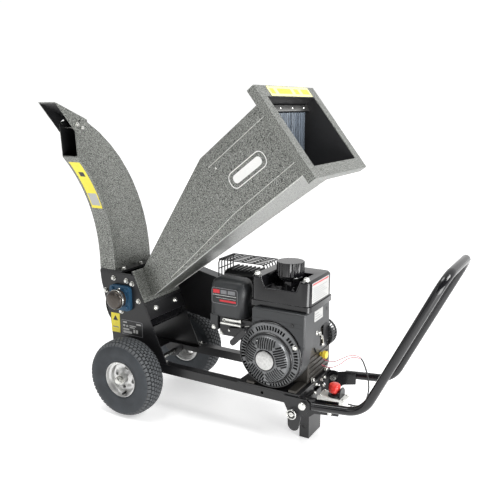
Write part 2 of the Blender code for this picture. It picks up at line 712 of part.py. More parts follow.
def deflector_hood():
    gap = 0.0006
    low = CHUTE_X[0] - gap - SHEET
    high = CHUTE_X[1] + gap + SHEET
    tip = (-0.345, 1.0320)
    rear = (-0.215, 0.9790)
    outline = [tip, rear, (-0.221, 0.941), (-0.230, 0.932), (-0.258, 0.932)]
    hood = plate("deflector_hood", HAMMER_GREY, "X", outline, low, high, (), HOOD_PIVOT)
    slope = (tip[1] - rear[1]) / (tip[0] - rear[0])
    drop = SHEET * math.sqrt(1 + slope ** 2)

    def underside(y):
        return (y, rear[1] + slope * (y - rear[0]) - drop)
    inside = [underside(-0.40), underside(-0.15), (-0.15, 0.90), (-0.40, 0.90)]
    cutters = [plate("inside", HAMMER_GREY, "X", inside, CHUTE_X[0] - gap, CHUTE_X[1] + gap)]
    cutters.append(lathe("pivot_hole", HAMMER_GREY, "X", HOOD_PIVOT,
                         disc(0.0034, low - 0.01, high + 0.01), 12))
    middle_y, middle_z = HOOD_PIVOT.y, HOOD_PIVOT.z
    start = 150 + 8
    end = 150 - HOOD_TRAVEL - 8
    slot = arc(middle_y, middle_z, HOOD_SLOT_RADIUS + 0.0034, start, end, 8)
    slot += arc(middle_y, middle_z, HOOD_SLOT_RADIUS - 0.0034, end, start, 8)
    cutters.append(plate("slot", HAMMER_GREY, "X", slot, low - 0.01, high + 0.01))
    cut(hood, cutters)
    face = (high - low) / 2
    half = [(0.003, face + GAP), (0.0065, face + GAP), (0.0065, face + 0.005), (0.0052, face + 0.007),
            (0.0, face + 0.007)]
    profile = [(radius, -height) for radius, height in reversed(half)] + half
    lathe("hood_pivot_bolt", ZINC, "X", ((low + high) / 2, HOOD_PIVOT.y, HOOD_PIVOT.z), profile, 12)


# ---------------------------------------------------------------- belt drive

def belt_outline(rotor_radius, crank_radius, steps=14):
    """Closed outline in X and Z round both pulley centres, with straight runs between."""
    gap = Vector((CRANK.x - ROTOR.x, CRANK.z - ROTOR.z))
    heading = math.degrees(math.atan2(gap.y, gap.x))
    lean = math.degrees(math.acos((rotor_radius - crank_radius) / gap.length))
    points = arc(ROTOR.x, ROTOR.z, rotor_radius, heading + lean, heading + 360 - lean, steps)
    points += arc(CRANK.x, CRANK.z, crank_radius, heading - lean, heading + lean, steps)
    return points


def pulley(name, spec, centre, groove, rim, bore):
    low, high = BELT_Y
    profile = [(bore, low - 0.005), (rim, low - 0.005), (rim, low - 0.001), (groove, low - 0.001),
               (groove, high + 0.001), (rim, high + 0.001), (rim, high + 0.005), (bore, high + 0.005)]
    lathe(name, spec, "Y", centre, profile, 28)


def belt_drive():
    pulley("rotor_pulley", STEEL, ROTOR, ROTOR_GROOVE, ROTOR_GROOVE + 0.010, SHAFT_RADIUS + GAP)
    pulley("clutch_pulley", STEEL, CRANK, CRANK_GROOVE, CRANK_GROOVE + 0.010, CRANK_RADIUS + GAP)
    outer = belt_outline(ROTOR_GROOVE + GAP * 2 + BELT_THICKNESS, CRANK_GROOVE + GAP * 2 + BELT_THICKNESS)
    inner = belt_outline(ROTOR_GROOVE + GAP * 2, CRANK_GROOVE + GAP * 2)
    plate("drive_belt", BLACK_PLASTIC, "Y", outer, *BELT_Y, (inner,))
    outline = belt_outline(0.088, 0.074)
    holes = (circle(ROTOR.x, ROTOR.z, 0.022, 20), circle(CRANK.x, CRANK.z, 0.022, 20))
    plate("belt_guard_back_plate", BLACK_PAINT, "Y", outline, 0.1285, 0.1305, holes)
    folded = belt_outline(0.086, 0.072)
    low = 0.1305 + GAP
    high = 0.176
    count = len(outline)
    verts = [along("Y", u, v, low) for u, v in outline] + [along("Y", u, v, high) for u, v in outline]
    verts += [along("Y", u, v, low) for u, v in folded]
    verts += [along("Y", u, v, high - SHEET) for u, v in folded]
    faces = [tuple(range(count, 2 * count)), tuple(range(3 * count, 4 * count))]
    for index in range(count):
        after = (index + 1) % count
        faces.append((index, after, after + count, index + count))
        faces.append((index + 2 * count, after + 2 * count, after + 3 * count, index + 3 * count))
        faces.append((index, after, after + 2 * count, index + 2 * count))
    solid("belt_guard_cover", SATIN_GREY, verts, faces)


# ---------------------------------------------------------------- engine

def crankcase():
    outline = [(0.425, ENGINE_BOTTOM), (0.600, ENGINE_BOTTOM), (0.606, 0.200), (0.606, 0.330),
               (0.578, 0.372), (0.500, 0.385), (0.449, 0.365), (0.425, 0.330)]
    bore = circle(CRANK.x, CRANK.z, CRANK_RADIUS + GAP, 16)
    plate("crankcase", ALUMINIUM, "Y", outline, -0.049, 0.118, (bore,), (0, 0, 0), 0.003)
    lathe("crankshaft", STEEL, "Y", CRANK, disc(CRANK_RADIUS, -0.098, 0.170), 16)


def cylinder():
    """Finned cylinder and head on the rear side of the crankcase."""
    low, high = 0.282, 0.378
    fins = 5
    pitch = (0.4247 - 0.334) / fins
    upper = []
    lower = []
    for number in range(fins):
        x = 0.4247 - number * pitch
        upper += [(x, high - 0.010), (x - pitch * 0.5, high - 0.010), (x - pitch * 0.5, high),
                  (x - pitch, high)]
        lower += [(x, low + 0.010), (x - pitch * 0.5, low + 0.010), (x - pitch * 0.5, low),
                  (x - pitch, low)]
    barrel = plate("cylinder", ALUMINIUM, "Y", upper + lower[::-1], -0.012, 0.100)
    head = block("cylinder_head", ALUMINIUM, (0.292, 0.336), (-0.016, 0.104), (0.276, 0.384))
    plug = lathe("spark_plug", ALUMINIUM, "X", (0.293, 0.045, 0.330),
                 [(0.0, 0.0), (0.009, 0.0), (0.009, -0.011), (0.0125, -0.015), (0.0125, -0.038),
                  (0.0, -0.038)], 12)
    weld(barrel, [head, plug])


def shroud_outline(shrink=0.0):
    """Blower shroud: a round fan housing that runs up into a square duct."""
    radius = 0.106 - shrink
    points = arc(0.510, 0.287, radius, 128, 360, 16)
    points += [(0.6235 - shrink, 0.325), (0.6235 - shrink, TANK_BOTTOM - GAP - shrink)]
    points += [(0.449 + shrink, TANK_BOTTOM - GAP - shrink)]
    return points


def blower_shroud():
    wall = 0.0025
    front = SHROUD_FRONT
    shroud = plate("blower_shroud", SATIN_GREY, "Y", shroud_outline(), front, SHROUD_BACK,
                   (), (0, 0, 0), 0.003)
    cavity = plate("cavity", SATIN_GREY, "Y", shroud_outline(wall), front + wall, SHROUD_BACK + 0.01)
    eye = lathe("eye", SATIN_GREY, "Y", CRANK, disc(0.064, front - 0.01, front + 0.01), 24)
    cut(shroud, [cavity, eye])
    face = front - GAP
    outer = COVER_RADIUS
    inner = COVER_RADIUS - 0.003
    profile = [(0.0, face - 0.0280), (outer * 0.60, face - 0.0280), (outer * 0.84, face - 0.0220),
               (outer - 0.001, face - 0.009), (outer, face), (inner, face), (inner - 0.0005, face - 0.0085),
               (inner * 0.84, face - 0.0190), (inner * 0.62, face - 0.0250), (0.0, face - 0.0250)]
    cover = lathe("recoil_cover", SATIN_GREY, "Y", CRANK, profile, 32)
    start = starter_rope_start()
    hole = rope_solid("rope_hole", 0.0026, start + PULL_DIRECTION * 0.020, ROPE_LENGTH - 0.038)
    cut(cover, [hole])


def starter_rope_start():
    """Where the rope's straight run begins, inside the cover."""
    return CRANK + Vector((ROPE_START_X, SHROUD_FRONT - 0.0165, ROPE_START_Z))


def rope_solid(name, radius, start, length):
    points = [start, start + PULL_DIRECTION * length * 0.5, start + PULL_DIRECTION * length]
    return as_mesh(tube(name, BLACK_PLASTIC, points, radius, 1, start))


def starter_grip():
    """T-grip on its rope; the rope's last run lies inside the cover at rest."""
    start = starter_rope_start()
    seat = start + PULL_DIRECTION * ROPE_LENGTH
    lean = Vector((0.70, -0.10, 0.71)).normalized()
    depth = (PULL_DIRECTION - lean * PULL_DIRECTION.dot(lean)).normalized()
    thick = depth.cross(lean).normalized()

    def place(first, second, height):
        return seat + lean * first + depth * second + thick * height
    outline = [(-0.041, 0.003), (-0.033, 0.0), (0.033, 0.0), (0.041, 0.003),
               (0.041, 0.015), (0.033, 0.019), (-0.033, 0.019), (-0.041, 0.015)]
    grip = sheet_part("starter_grip", BLACK_PLASTIC, place, outline, -0.009, 0.009, (), seat, 0.003)
    weld(grip, [rope_solid("starter_rope", 0.0020, start, ROPE_LENGTH + 0.006)])


def fuel_system():
    ledge = plate("tank_ledge", GLOSS_BLACK, "Z", rounded(0.427, 0.6295, -0.1020, 0.076, 0.016),
                  TANK_BOTTOM, TANK_BOTTOM + 0.0175)
    tank = plate("fuel_tank", GLOSS_BLACK, "Z", rounded(0.430, 0.6265, -0.0990, 0.073, 0.020, 4),
                 TANK_BOTTOM + 0.0100, 0.5215, (), (0, 0, 0), 0.006)
    recess = plate("recess", GLOSS_BLACK, "Y", [(0.478, 0.487), (0.585, 0.487), (0.600, 0.540),
                                                (0.462, 0.540)], -0.12, 0.003)
    cut(tank, [recess])
    neck = lathe("filler_neck", GLOSS_BLACK, "Z", (FUEL_CAP.x, FUEL_CAP.y, FUEL_CAP.z - GAP),
                 disc(0.027, -0.045, 0.0), 20)
    weld(tank, [ledge, neck])
    ribs = 24
    outline = []
    for index in range(ribs * 2):
        radius = FUEL_CAP_RADIUS if index % 2 else FUEL_CAP_RADIUS - 0.002
        angle = math.pi * index / ribs
        outline.append((FUEL_CAP.x + radius * math.cos(angle), FUEL_CAP.y + radius * math.sin(angle)))
    plate("fuel_cap", BLACK_PLASTIC, "Z", outline, FUEL_CAP.z, FUEL_CAP.z + 0.042, (), FUEL_CAP)


def air_cleaner():
    outline = [(0.272, 0.318), (0.303, 0.318), (0.303, 0.368), (0.412, 0.368), (0.412, 0.470),
               (0.396, 0.488), (0.290, 0.492), (0.276, 0.480)]
    plate("air_cleaner_cover", SATIN_GREY, "Y", outline, -0.100, -0.020, (), (0, 0, 0), 0.005)
    block("carburettor", ALUMINIUM, (0.3045, 0.4035), (-0.075, -0.0165), (0.300, 0.3668), 0.003)
    for name, x, z, reach, tilt, outward in (("choke_lever", 0.325, 0.354, 0.062, 4, 0.0),
                                             ("throttle_lever", 0.345, 0.325, 0.050, 14, 0.004)):
        angle = math.radians(tilt)
        pivot = Vector((x, -0.0790 - outward, z))
        forward = Vector((math.cos(angle), 0.0, math.sin(angle)))
        up = Vector((-math.sin(angle), 0.0, math.cos(angle)))

        def place(first, second, height, pivot=pivot, forward=forward, up=up):
            return pivot + forward * first + up * second + Vector((0.0, height, 0.0))
        shape = arc(0.0, 0.0, 0.007, 90, 270, 6) + [(reach - 0.012, -0.0035), (reach, -0.006),
                                                    (reach, 0.006), (reach - 0.012, 0.0035)]
        sheet_part(name, ZINC if name == "choke_lever" else BLACK_PLASTIC, place, shape,
                   -0.004, -0.001, (), pivot)


def muffler_parts():
    block("muffler", BLACK_PAINT, (0.248, 0.402), (0.030, 0.116), (0.400, 0.488), 0.012)
    low, high = 0.236, 0.4145
    skin = [(low, 0.430), (low, 0.516), (low + 0.014, 0.530), (high - 0.014, 0.530), (high, 0.516),
            (high, 0.430), (high - SHEET, 0.430), (high - SHEET, 0.515), (high - 0.015, 0.528),
            (low + 0.015, 0.528), (low + SHEET, 0.515), (low + SHEET, 0.430)]
    guard = plate("muffler_guard", BLACK_PAINT, "Y", skin, 0.022, 0.124)
    slots = []
    for number in range(6):
        y = 0.0300 + number * 0.0155
        slots.append(block(f"top_slot_{number}", BLACK_PAINT, (low + 0.022, high - 0.022),
                           (y, y + 0.009), (0.520, 0.540)))
        slots.append(block(f"end_slot_{number}", BLACK_PAINT, (low - 0.01, high + 0.01),
                           (y, y + 0.009), (0.445, 0.508)))
    cut(guard, slots)


def engine_trim():
    outline = [(-0.0525, 0.4265), (0.092, 0.4265), (0.097, 0.345), (0.112, 0.318), (0.104, 0.284),
               (0.080, 0.268), (0.004, 0.268), (-0.012, 0.292), (-0.0525, 0.300)]
    window = [(0.026, 0.284), (0.056, 0.284), (0.064, 0.318), (0.050, 0.350), (0.030, 0.345)]
    plate("engine_side_cover", SATIN_GREY, "X", outline, 0.6063, 0.6103, (window,))
    lathe("oil_filler_cap", YELLOW_PLASTIC, "X", (0.6063, 0.041, 0.2525),
          [(0.0, 0.0), (0.0075, 0.0), (0.0075, 0.009), (0.0125, 0.010), (0.0125, 0.022), (0.0, 0.024)], 14)


# ---------------------------------------------------------------- handle

def handle():
    bend = 0.085
    low_start = Vector((0.660, 0.1600))
    corner = Vector((0.813, 0.1750))
    top = Vector((1.0205, 0.6000))
    into = (corner - low_start).normalized()
    out = (top - corner).normalized()
    turn = into.angle(out)
    setback = bend * math.tan(turn / 2)
    begin = corner - into * setback
    centre = begin + Vector((-into.y, into.x)) * bend
    first = math.degrees(math.atan2(begin.y - centre.y, begin.x - centre.x))
    side = [tuple(low_start)] + arc(centre.x, centre.y, bend, first, first + math.degrees(turn), 10)
    corner_radius = 0.052
    stop = top - out * corner_radius
    points = [Vector((x, -ARM_Y, z)) for x, z in side]
    steps = 8
    for index in range(steps + 1):
        angle = math.radians(90.0 * index / steps)
        spot = stop + out * corner_radius * math.sin(angle)
        points.append(Vector((spot.x, -ARM_Y + corner_radius * (1 - math.cos(angle)), spot.y)))
    points += [Vector((point.x, -point.y, point.z)) for point in reversed(points)]
    bar = as_mesh(tube("tow_handle", BLACK_PAINT, points, TUBE_RADIUS, 4, PIVOT))
    weld(bar, [handle_side(name, sign) for name, sign in (("right", -1), ("left", 1))])


def lock_slot(low, high):
    """Cutter for the slot that the lock pin travels in while the handle folds up."""
    reach = (LOCK_PIN - PIVOT).length
    at_rest = math.degrees(math.atan2(LOCK_PIN.z - PIVOT.z, LOCK_PIN.x - PIVOT.x)) % 360
    first = at_rest - HANDLE_TRAVEL - LOCK_SLACK
    outer_edge = arc(PIVOT.x, PIVOT.z, reach + LOCK_HOLE, first, at_rest, 6)
    round_end = arc(LOCK_PIN.x, LOCK_PIN.z, LOCK_HOLE, at_rest, at_rest + 180, 6)
    inner_edge = arc(PIVOT.x, PIVOT.z, reach - LOCK_HOLE, at_rest, first, 6)
    return plate("slot", BLACK_PAINT, "Y", outer_edge + round_end[1:-1] + inner_edge, low, high)


def handle_side(side, sign):
    """Fixed bracket, pivot bolt and lock pin of one side; the arm plate is returned."""
    def span(near, far):
        return sorted((sign * near, sign * far))
    fixed_low, fixed_high = span(RAIL_OUTER + GAP, RAIL_OUTER + GAP + PLATE)
    pivot_hole = circle(PIVOT.x, PIVOT.z, 0.0063, 14)
    pin_hole = circle(LOCK_PIN.x, LOCK_PIN.z, LOCK_HOLE, 12)
    outline = [(0.560, RAIL_TOP - 0.003), (0.560, RAIL_BOTTOM + 0.004), (0.573, 0.120)]
    outline += arc(0.593, 0.078, 0.019, 180, 330, 8)
    outline += [(0.618, 0.110), (0.646, 0.136), (0.646, 0.160), (0.634, RAIL_TOP - 0.003)]
    plate(f"handle_bracket_{side}", BLACK_PAINT, "Y", outline, fixed_low, fixed_high,
          (pivot_hole, pin_hole))
    inner, outer = span(RAIL_OUTER - PLATE, RAIL_OUTER)
    lobe = arc(PIVOT.x, PIVOT.z, 0.0225, 60, 188, 8)
    lobe += [(0.6030, 0.1395), (0.596, 0.1365), (0.580, 0.1340)]
    lobe += arc(LOCK_PIN.x, LOCK_PIN.z, 0.0145, 150, 300, 6)
    end = ARM_PLATE_END[side]
    lobe += [(0.640, 0.112), (0.660, 0.1290), (end, 0.1385), (end, 0.1820), (0.660, 0.1750)]
    arm = plate(f"arm_plate_{side}", BLACK_PAINT, "Y", lobe, inner, outer, (pivot_hole, ), PIVOT)
    cut(arm, [lock_slot(inner - GAP, outer + GAP)])
    face = RAIL_OUTER + GAP + PLATE
    back = RAIL_OUTER - PLATE
    bolt = [(0.0, face + 0.012), (0.010, face + 0.012), (0.0125, face + 0.009), (0.0125, face + GAP),
            (0.0058, face + GAP), (0.0058, back - GAP), (0.0100, back - GAP), (0.0100, back - 0.010),
            (0.0, back - 0.010)]
    bolt = [(radius, sign * height) for radius, height in bolt]
    lathe(f"handle_pivot_bolt_{side}", ZINC, "Y", PIVOT, bolt, 12)
    pin = [(0.0, face + 0.012), (0.0075, face + 0.012), (0.0075, face + GAP), (0.0040, face + GAP),
           (0.0040, back - 0.004), (0.0, back - 0.006)]
    pin = [(radius, sign * height) for radius, height in pin]
    if side == "right":
        lathe("handle_lock_pin", ZINC, "Y", LOCK_PIN, pin, 12)
    low, high = span(RAIL_OUTER - 0.001, ARM_Y - TUBE_RADIUS / 2)
    pad = block(f"arm_pad_{side}", BLACK_PAINT, (0.662, end - 0.005), (low, high), (0.153, 0.172))
    return weld(arm, [pad])


# ---------------------------------------------------------------- stop switch and leads

def stop_switch():
    high = 0.1570
    box = block("stop_switch_box", WHITE_PLASTIC, (0.6380, 0.7310), (-0.0580, -0.0020),
                (SHELF_TOP + GAP, high), 0.003)
    spot = Vector((0.6860, -0.0300, high))
    rim = lathe("collar", BLACK_PLASTIC, "Z", spot, disc(0.0195, -0.004, 0.0070), 24)
    bore = lathe("bore", BLACK_PLASTIC, "Z", spot, disc(0.0085, -0.012, 0.0090), 16)
    weld(box, [rim])
    cut(box, [bore])
    lathe("stop_button", RED_PLASTIC, "Z", spot,
          [(0.0, 0.0005), (0.0080, 0.0005), (0.0080, 0.0130), (0.0170, 0.0130), (0.0183, 0.0160),
           (0.0183, 0.0330), (0.0150, 0.0385), (0.0, 0.0405)], 24)


LEAD_ROUTES = (
    ("ignition_lead_upper", 0.0011, PINK_WIRE,
     ((0.6243, 0.0200, 0.2450), (0.6400, 0.0180, 0.2440), (0.6640, 0.0120, 0.2480),
      (0.6900, 0.0040, 0.2640), (0.7160, -0.0040, 0.2820), (0.7400, -0.0100, 0.2905),
      (0.7600, -0.0150, 0.2890))),
    ("ignition_lead_lower", 0.0011, PINK_WIRE,
     ((0.6243, 0.0100, 0.2300), (0.6400, 0.0080, 0.2280), (0.6620, 0.0020, 0.2320),
      (0.6900, -0.0040, 0.2500), (0.7160, -0.0090, 0.2740), (0.7400, -0.0135, 0.2860),
      (0.7600, -0.0178, 0.2866))),
    ("stop_cable", 0.0022, BLACK_PLASTIC,
     ((0.7616, -0.0164, 0.2876), (0.7680, -0.0190, 0.2820), (0.7820, -0.0260, 0.2580),
      (0.7930, -0.0330, 0.2250), (0.7950, -0.0370, 0.1950), (0.7860, -0.0370, 0.1640),
      (0.7640, -0.0340, 0.1430), (0.7440, -0.0300, 0.1390), (0.7313, -0.0300, 0.1390))),
)


def leads():
    for name, radius, spec, route in LEAD_ROUTES:
        tube(name, spec, smooth_route(route, radius * 5.0), radius, 2)


def centre_on_origin():
    """Put the middle of the footprint at x = y = 0 and the lowest point at z = 0."""
    bpy.context.view_layer.update()
    graph = bpy.context.evaluated_depsgraph_get()
    low = Vector((math.inf,) * 3)
    high = Vector((-math.inf,) * 3)
    for item in bpy.context.scene.objects:
        shape = item.evaluated_get(graph)
        mesh = shape.to_mesh()
        for vertex in mesh.vertices:
            point = item.matrix_world @ vertex.co
            low = Vector(map(min, low, point))
            high = Vector(map(max, high, point))
        shape.to_mesh_clear()
    shift = Vector(((low.x + high.x) / 2, (low.y + high.y) / 2, low.z))
    for item in bpy.context.scene.objects:
        item.location = item.location - shift
    print("shift", tuple(round(value, 5) for value in shift), "size", tuple(high - low))


def build():
    clear_scene()
    chassis()
    axle()
    wheel("right", -1)
    wheel("left", 1)
    front_foot()
    rotor_housing()
    throat_and_neck()
    rotor()
    feed_hopper()
    curtain()
    discharge_chute()
    deflector_hood()
    belt_drive()
    crankcase()
    cylinder()
    blower_shroud()
    starter_grip()
    fuel_system()
    air_cleaner()
    muffler_parts()
    engine_trim()
    handle()
    stop_switch()
    leads()
    centre_on_origin()


build()
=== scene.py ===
"""Looks of the wheeled wood chipper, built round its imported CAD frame.

Places are in metres from HOME: the point on the ground under the middle of the axle.
+X points to the tow handle, -Y to the recoil starter, +Y to the belt guard.
"""

import json
import math

import bmesh
import bpy
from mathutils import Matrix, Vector
from mathutils.geometry import tessellate_polygon


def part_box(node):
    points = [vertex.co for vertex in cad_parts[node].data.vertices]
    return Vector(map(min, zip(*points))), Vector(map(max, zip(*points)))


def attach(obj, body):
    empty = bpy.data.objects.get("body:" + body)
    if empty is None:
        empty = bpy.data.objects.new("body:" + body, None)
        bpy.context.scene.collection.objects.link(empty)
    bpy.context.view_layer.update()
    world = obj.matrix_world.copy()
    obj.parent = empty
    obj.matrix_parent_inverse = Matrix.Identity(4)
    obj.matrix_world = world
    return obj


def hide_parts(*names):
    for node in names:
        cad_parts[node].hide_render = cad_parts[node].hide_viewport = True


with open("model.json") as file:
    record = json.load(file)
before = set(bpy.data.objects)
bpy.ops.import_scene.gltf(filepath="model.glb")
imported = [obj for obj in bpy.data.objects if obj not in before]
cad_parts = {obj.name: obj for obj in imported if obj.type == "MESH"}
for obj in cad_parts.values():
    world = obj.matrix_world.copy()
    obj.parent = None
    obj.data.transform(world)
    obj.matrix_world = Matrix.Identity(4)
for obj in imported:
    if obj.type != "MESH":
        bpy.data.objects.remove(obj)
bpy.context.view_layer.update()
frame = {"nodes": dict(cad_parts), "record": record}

RIGHT_LOW, RIGHT_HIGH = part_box("tyre_right")
LEFT_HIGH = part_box("tyre_left")[1]
HOME = Vector(((RIGHT_LOW.x + RIGHT_HIGH.x) / 2, (RIGHT_LOW.y + LEFT_HIGH.y) / 2, 0.0))
BODY_OF = {node: body for body, nodes in frame["record"]["behaviour"]["bodies"].items()
           for node in nodes}
SIDES = (("right", -1), ("left", 1))


def spot(x, y, z):
    """A place counted from HOME."""
    return HOME + Vector((x, y, z))


def cad(node):
    """Lowest and highest corner of a CAD node, counted from HOME."""
    low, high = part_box(node)
    return low - HOME, high - HOME


# ---------------------------------------------------------------- camera and light

VIEW_TURN = math.radians(29.5)
VIEW_TILT = math.radians(12.5)
VIEW_PLACE = (1.369, -1.761, 1.021)
SENSOR_MM = 36.0
LENS_MM = 46.8
NEAR_CLIP = 0.05


def add_object(name, data):
    item = bpy.data.objects.new(name, data)
    bpy.context.collection.objects.link(item)
    return item


def aim(item, place, ahead):
    """Put a camera or a light at a place, looking along a direction."""
    item.location = place
    item.rotation_mode = "QUATERNION"
    item.rotation_quaternion = ahead.to_track_quat("-Z", "Y")


def make_camera():
    data = bpy.data.cameras.new("camera")
    data.sensor_width = SENSOR_MM
    data.lens = LENS_MM
    data.clip_start = NEAR_CLIP
    camera = add_object("camera", data)
    ahead = Vector((-math.sin(VIEW_TURN) * math.cos(VIEW_TILT),
                    math.cos(VIEW_TURN) * math.cos(VIEW_TILT), -math.sin(VIEW_TILT)))
    aim(camera, spot(*VIEW_PLACE), ahead)
    bpy.context.scene.camera = camera


def area_light(name, place, target, size, power):
    data = bpy.data.lights.new(name, "AREA")
    data.shape = "RECTANGLE"
    data.size, data.size_y = size
    data.energy = power
    aim(add_object(name, data), spot(*place), spot(*target) - spot(*place))


def studio():
    """Bright behind the machine, darker behind the camera, so that gloss shows its shape."""
    world = bpy.data.worlds.new("studio")
    bpy.context.scene.world = world
    world.use_nodes = True
    tree = world.node_tree
    heading = tree.nodes.new("ShaderNodeTexCoord")
    facing = tree.nodes.new("ShaderNodeVectorMath")
    facing.operation = "DOT_PRODUCT"
    facing.inputs[1].default_value = (-0.35, 0.82, 0.30)
    tree.links.new(heading.outputs["Generated"], facing.inputs[0])
    level = tree.nodes.new("ShaderNodeMapRange")
    for key, value in (("From Min", -0.35), ("From Max", 0.38), ("To Min", 0.06), ("To Max", 1.03)):
        level.inputs[key].default_value = value
    tree.links.new(facing.outputs["Value"], level.inputs["Value"])
    seen = tree.nodes.new("ShaderNodeLightPath")
    strength = tree.nodes.new("ShaderNodeMath")
    strength.operation = "MAXIMUM"
    tree.links.new(level.outputs["Result"], strength.inputs[0])
    tree.links.new(seen.outputs["Is Camera Ray"], strength.inputs[1])
    tree.links.new(strength.outputs["Value"], tree.nodes["Background"].inputs["Strength"])
    tree.nodes["Background"].inputs["Color"].default_value = (1.0, 1.0, 1.0, 1.0)
    area_light("key", (2.7, -0.3, 2.2), (0.2, 0.0, 0.45), (1.2, 1.2), 70.0)
    area_light("top", (-0.2, -0.6, 2.9), (0.2, 0.0, 0.4), (1.6, 0.8), 26.0)
    area_light("fill", (-0.9, -2.6, 1.3), (0.3, 0.0, 0.4), (0.5, 1.4), 5.5)
    area_light("bounce", (1.7, -0.7, 0.06), (0.35, 0.0, 0.75), (0.9, 0.9), 23.0)
    bpy.context.scene.view_settings.view_transform = "Standard"


# ---------------------------------------------------------------- curves

def smooth_route(route, spacing):
    """Evenly spaced points on a smooth curve through the route's own points."""
    fine = []
    points = [Vector(point) for point in route]
    ends = [points[0] * 2 - points[1]] + points + [points[-1] * 2 - points[-2]]
    for index in range(1, len(ends) - 2):
        before, here, after, beyond = ends[index - 1:index + 3]
        for step in range(12):
            t = step / 12
            fine.append(0.5 * ((2 * here) + (after - before) * t
                               + (2 * before - 5 * here + 4 * after - beyond) * t * t
                               + (3 * here - before - 3 * after + beyond) * t ** 3))
    fine.append(points[-1])
    count = max(2, round(length_of(fine) / spacing))
    spaced = [fine[0]]
    walked = 0.0
    target = length_of(fine) / count
    for a, b in zip(fine, fine[1:]):
        run = (b - a).length
        while walked + run >= target * len(spaced) - 1e-9 and len(spaced) < count:
            spaced.append(a.lerp(b, (target * len(spaced) - walked) / run))
        walked += run
    spaced.append(fine[-1])
    return spaced


def length_of(points):
    return sum((Vector(b) - Vector(a)).length for a, b in zip(points, points[1:]))


def wire(name, points, radius, material, body="body", closed=False, sides=3):
    """A round bar or wire through points counted from HOME."""
    curve = bpy.data.curves.new(name, "CURVE")
    curve.dimensions = "3D"
    curve.bevel_depth = radius
    curve.bevel_resolution = sides
    curve.use_fill_caps = True
    line = curve.splines.new("POLY")
    line.points.add(len(points) - 1)
    line.use_cyclic_u = closed
    for held, point in zip(line.points, points):
        held.co = (*(HOME + Vector(point)), 1.0)
    item = add_object(name, curve)
    curve.materials.append(material)
    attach(item, body)
    return item


# ---------------------------------------------------------------- materials

class Nodes:
    """A small helper that adds shader nodes and links them."""

    def __init__(self, name):
        self.material = bpy.data.materials.new(name)
        self.material.use_nodes = True
        self.tree = self.material.node_tree
        self.shader = self.tree.nodes["Principled BSDF"]
        coordinates = self.tree.nodes.new("ShaderNodeTexCoord")
        self.place = coordinates.outputs["Object"]

    def add(self, kind, settings=None, **values):
        node = self.tree.nodes.new(kind)
        for key, value in (settings or {}).items():
            setattr(node, key, value)
        for key, value in values.items():
            node.inputs[key.replace("_", " ")].default_value = value
        return node

    def link(self, output, target):
        self.tree.links.new(output, target)

    def noise(self, scale, detail=3.0, roughness=0.55):
        node = self.add("ShaderNodeTexNoise", Scale=scale, Detail=detail, Roughness=roughness)
        self.link(self.place, node.inputs["Vector"])
        return node.outputs["Fac"]

    def cells(self, scale):
        node = self.add("ShaderNodeTexVoronoi", {"feature": "SMOOTH_F1"}, Scale=scale)
        self.link(self.place, node.inputs["Vector"])
        return node.outputs["Distance"]

    def ramp(self, source, stops):
        node = self.add("ShaderNodeValToRGB")
        band = node.color_ramp
        band.elements[0].position, band.elements[0].color = stops[0][0], (*stops[0][1], 1.0)
        band.elements[1].position, band.elements[1].color = stops[-1][0], (*stops[-1][1], 1.0)
        for position, colour in stops[1:-1]:
            band.elements.new(position).color = (*colour, 1.0)
        self.link(source, node.inputs["Fac"])
        return node.outputs["Color"]

    def span(self, source, low, high):
        node = self.add("ShaderNodeMapRange", To_Min=low, To_Max=high)
        self.link(source, node.inputs["Value"])
        return node.outputs["Result"]

    def bump(self, source, strength, distance):
        node = self.add("ShaderNodeBump", Strength=strength, Distance=distance)
        self.link(source, node.inputs["Height"])
        self.link(node.outputs["Normal"], self.shader.inputs["Normal"])


def shade(colour, factor):
    return tuple(min(1.0, channel * factor) for channel in colour)


def coat(name, colour, roughness, metallic=0.0, grain=180.0, vary=0.2, relief=0.15, depth=0.0003):
    """Paint, plastic or metal whose colour and gloss vary a little, over a fine relief."""
    nodes = Nodes(name)
    nodes.shader.inputs["Metallic"].default_value = metallic
    broad = nodes.noise(9.0, 4.0)
    fine = nodes.noise(grain, 2.0)
    mixed = nodes.add("ShaderNodeMath", {"operation": "MULTIPLY"})
    nodes.link(broad, mixed.inputs[0])
    nodes.link(fine, mixed.inputs[1])
    stops = ((0.12, shade(colour, 1.0 - vary)), (0.38, shade(colour, 1.0 + vary)))
    nodes.link(nodes.ramp(mixed.outputs["Value"], stops), nodes.shader.inputs["Base Color"])
    nodes.link(nodes.span(broad, roughness * 0.8, min(1.0, roughness * 1.2)),
               nodes.shader.inputs["Roughness"])
    nodes.bump(fine, relief, depth)
    return nodes.material


def hammertone(name, dark, light, roughness, scale=420.0):
    """Hammer-finish enamel: pale flecks on grey, each in its own small dimple."""
    nodes = Nodes(name)
    nodes.shader.inputs["Metallic"].default_value = 0.6
    flecks = nodes.noise(scale, 2.0, 0.6)
    nodes.link(nodes.ramp(flecks, ((0.41, dark), (0.59, light))), nodes.shader.inputs["Base Color"])
    nodes.link(nodes.span(flecks, roughness * 0.75, roughness * 1.25),
               nodes.shader.inputs["Roughness"])
    nodes.bump(nodes.cells(scale * 0.85), 0.35, 0.0006)
    return nodes.material


def rubber(name):
    nodes = Nodes(name)
    broad = nodes.noise(14.0, 5.0)
    nodes.link(nodes.ramp(broad, ((0.3, (0.026, 0.030, 0.035)), (0.7, (0.060, 0.068, 0.077)))),
               nodes.shader.inputs["Base Color"])
    nodes.link(nodes.span(broad, 0.55, 0.85), nodes.shader.inputs["Roughness"])
    nodes.bump(nodes.noise(500.0, 2.0), 0.25, 0.0003)
    return nodes.material


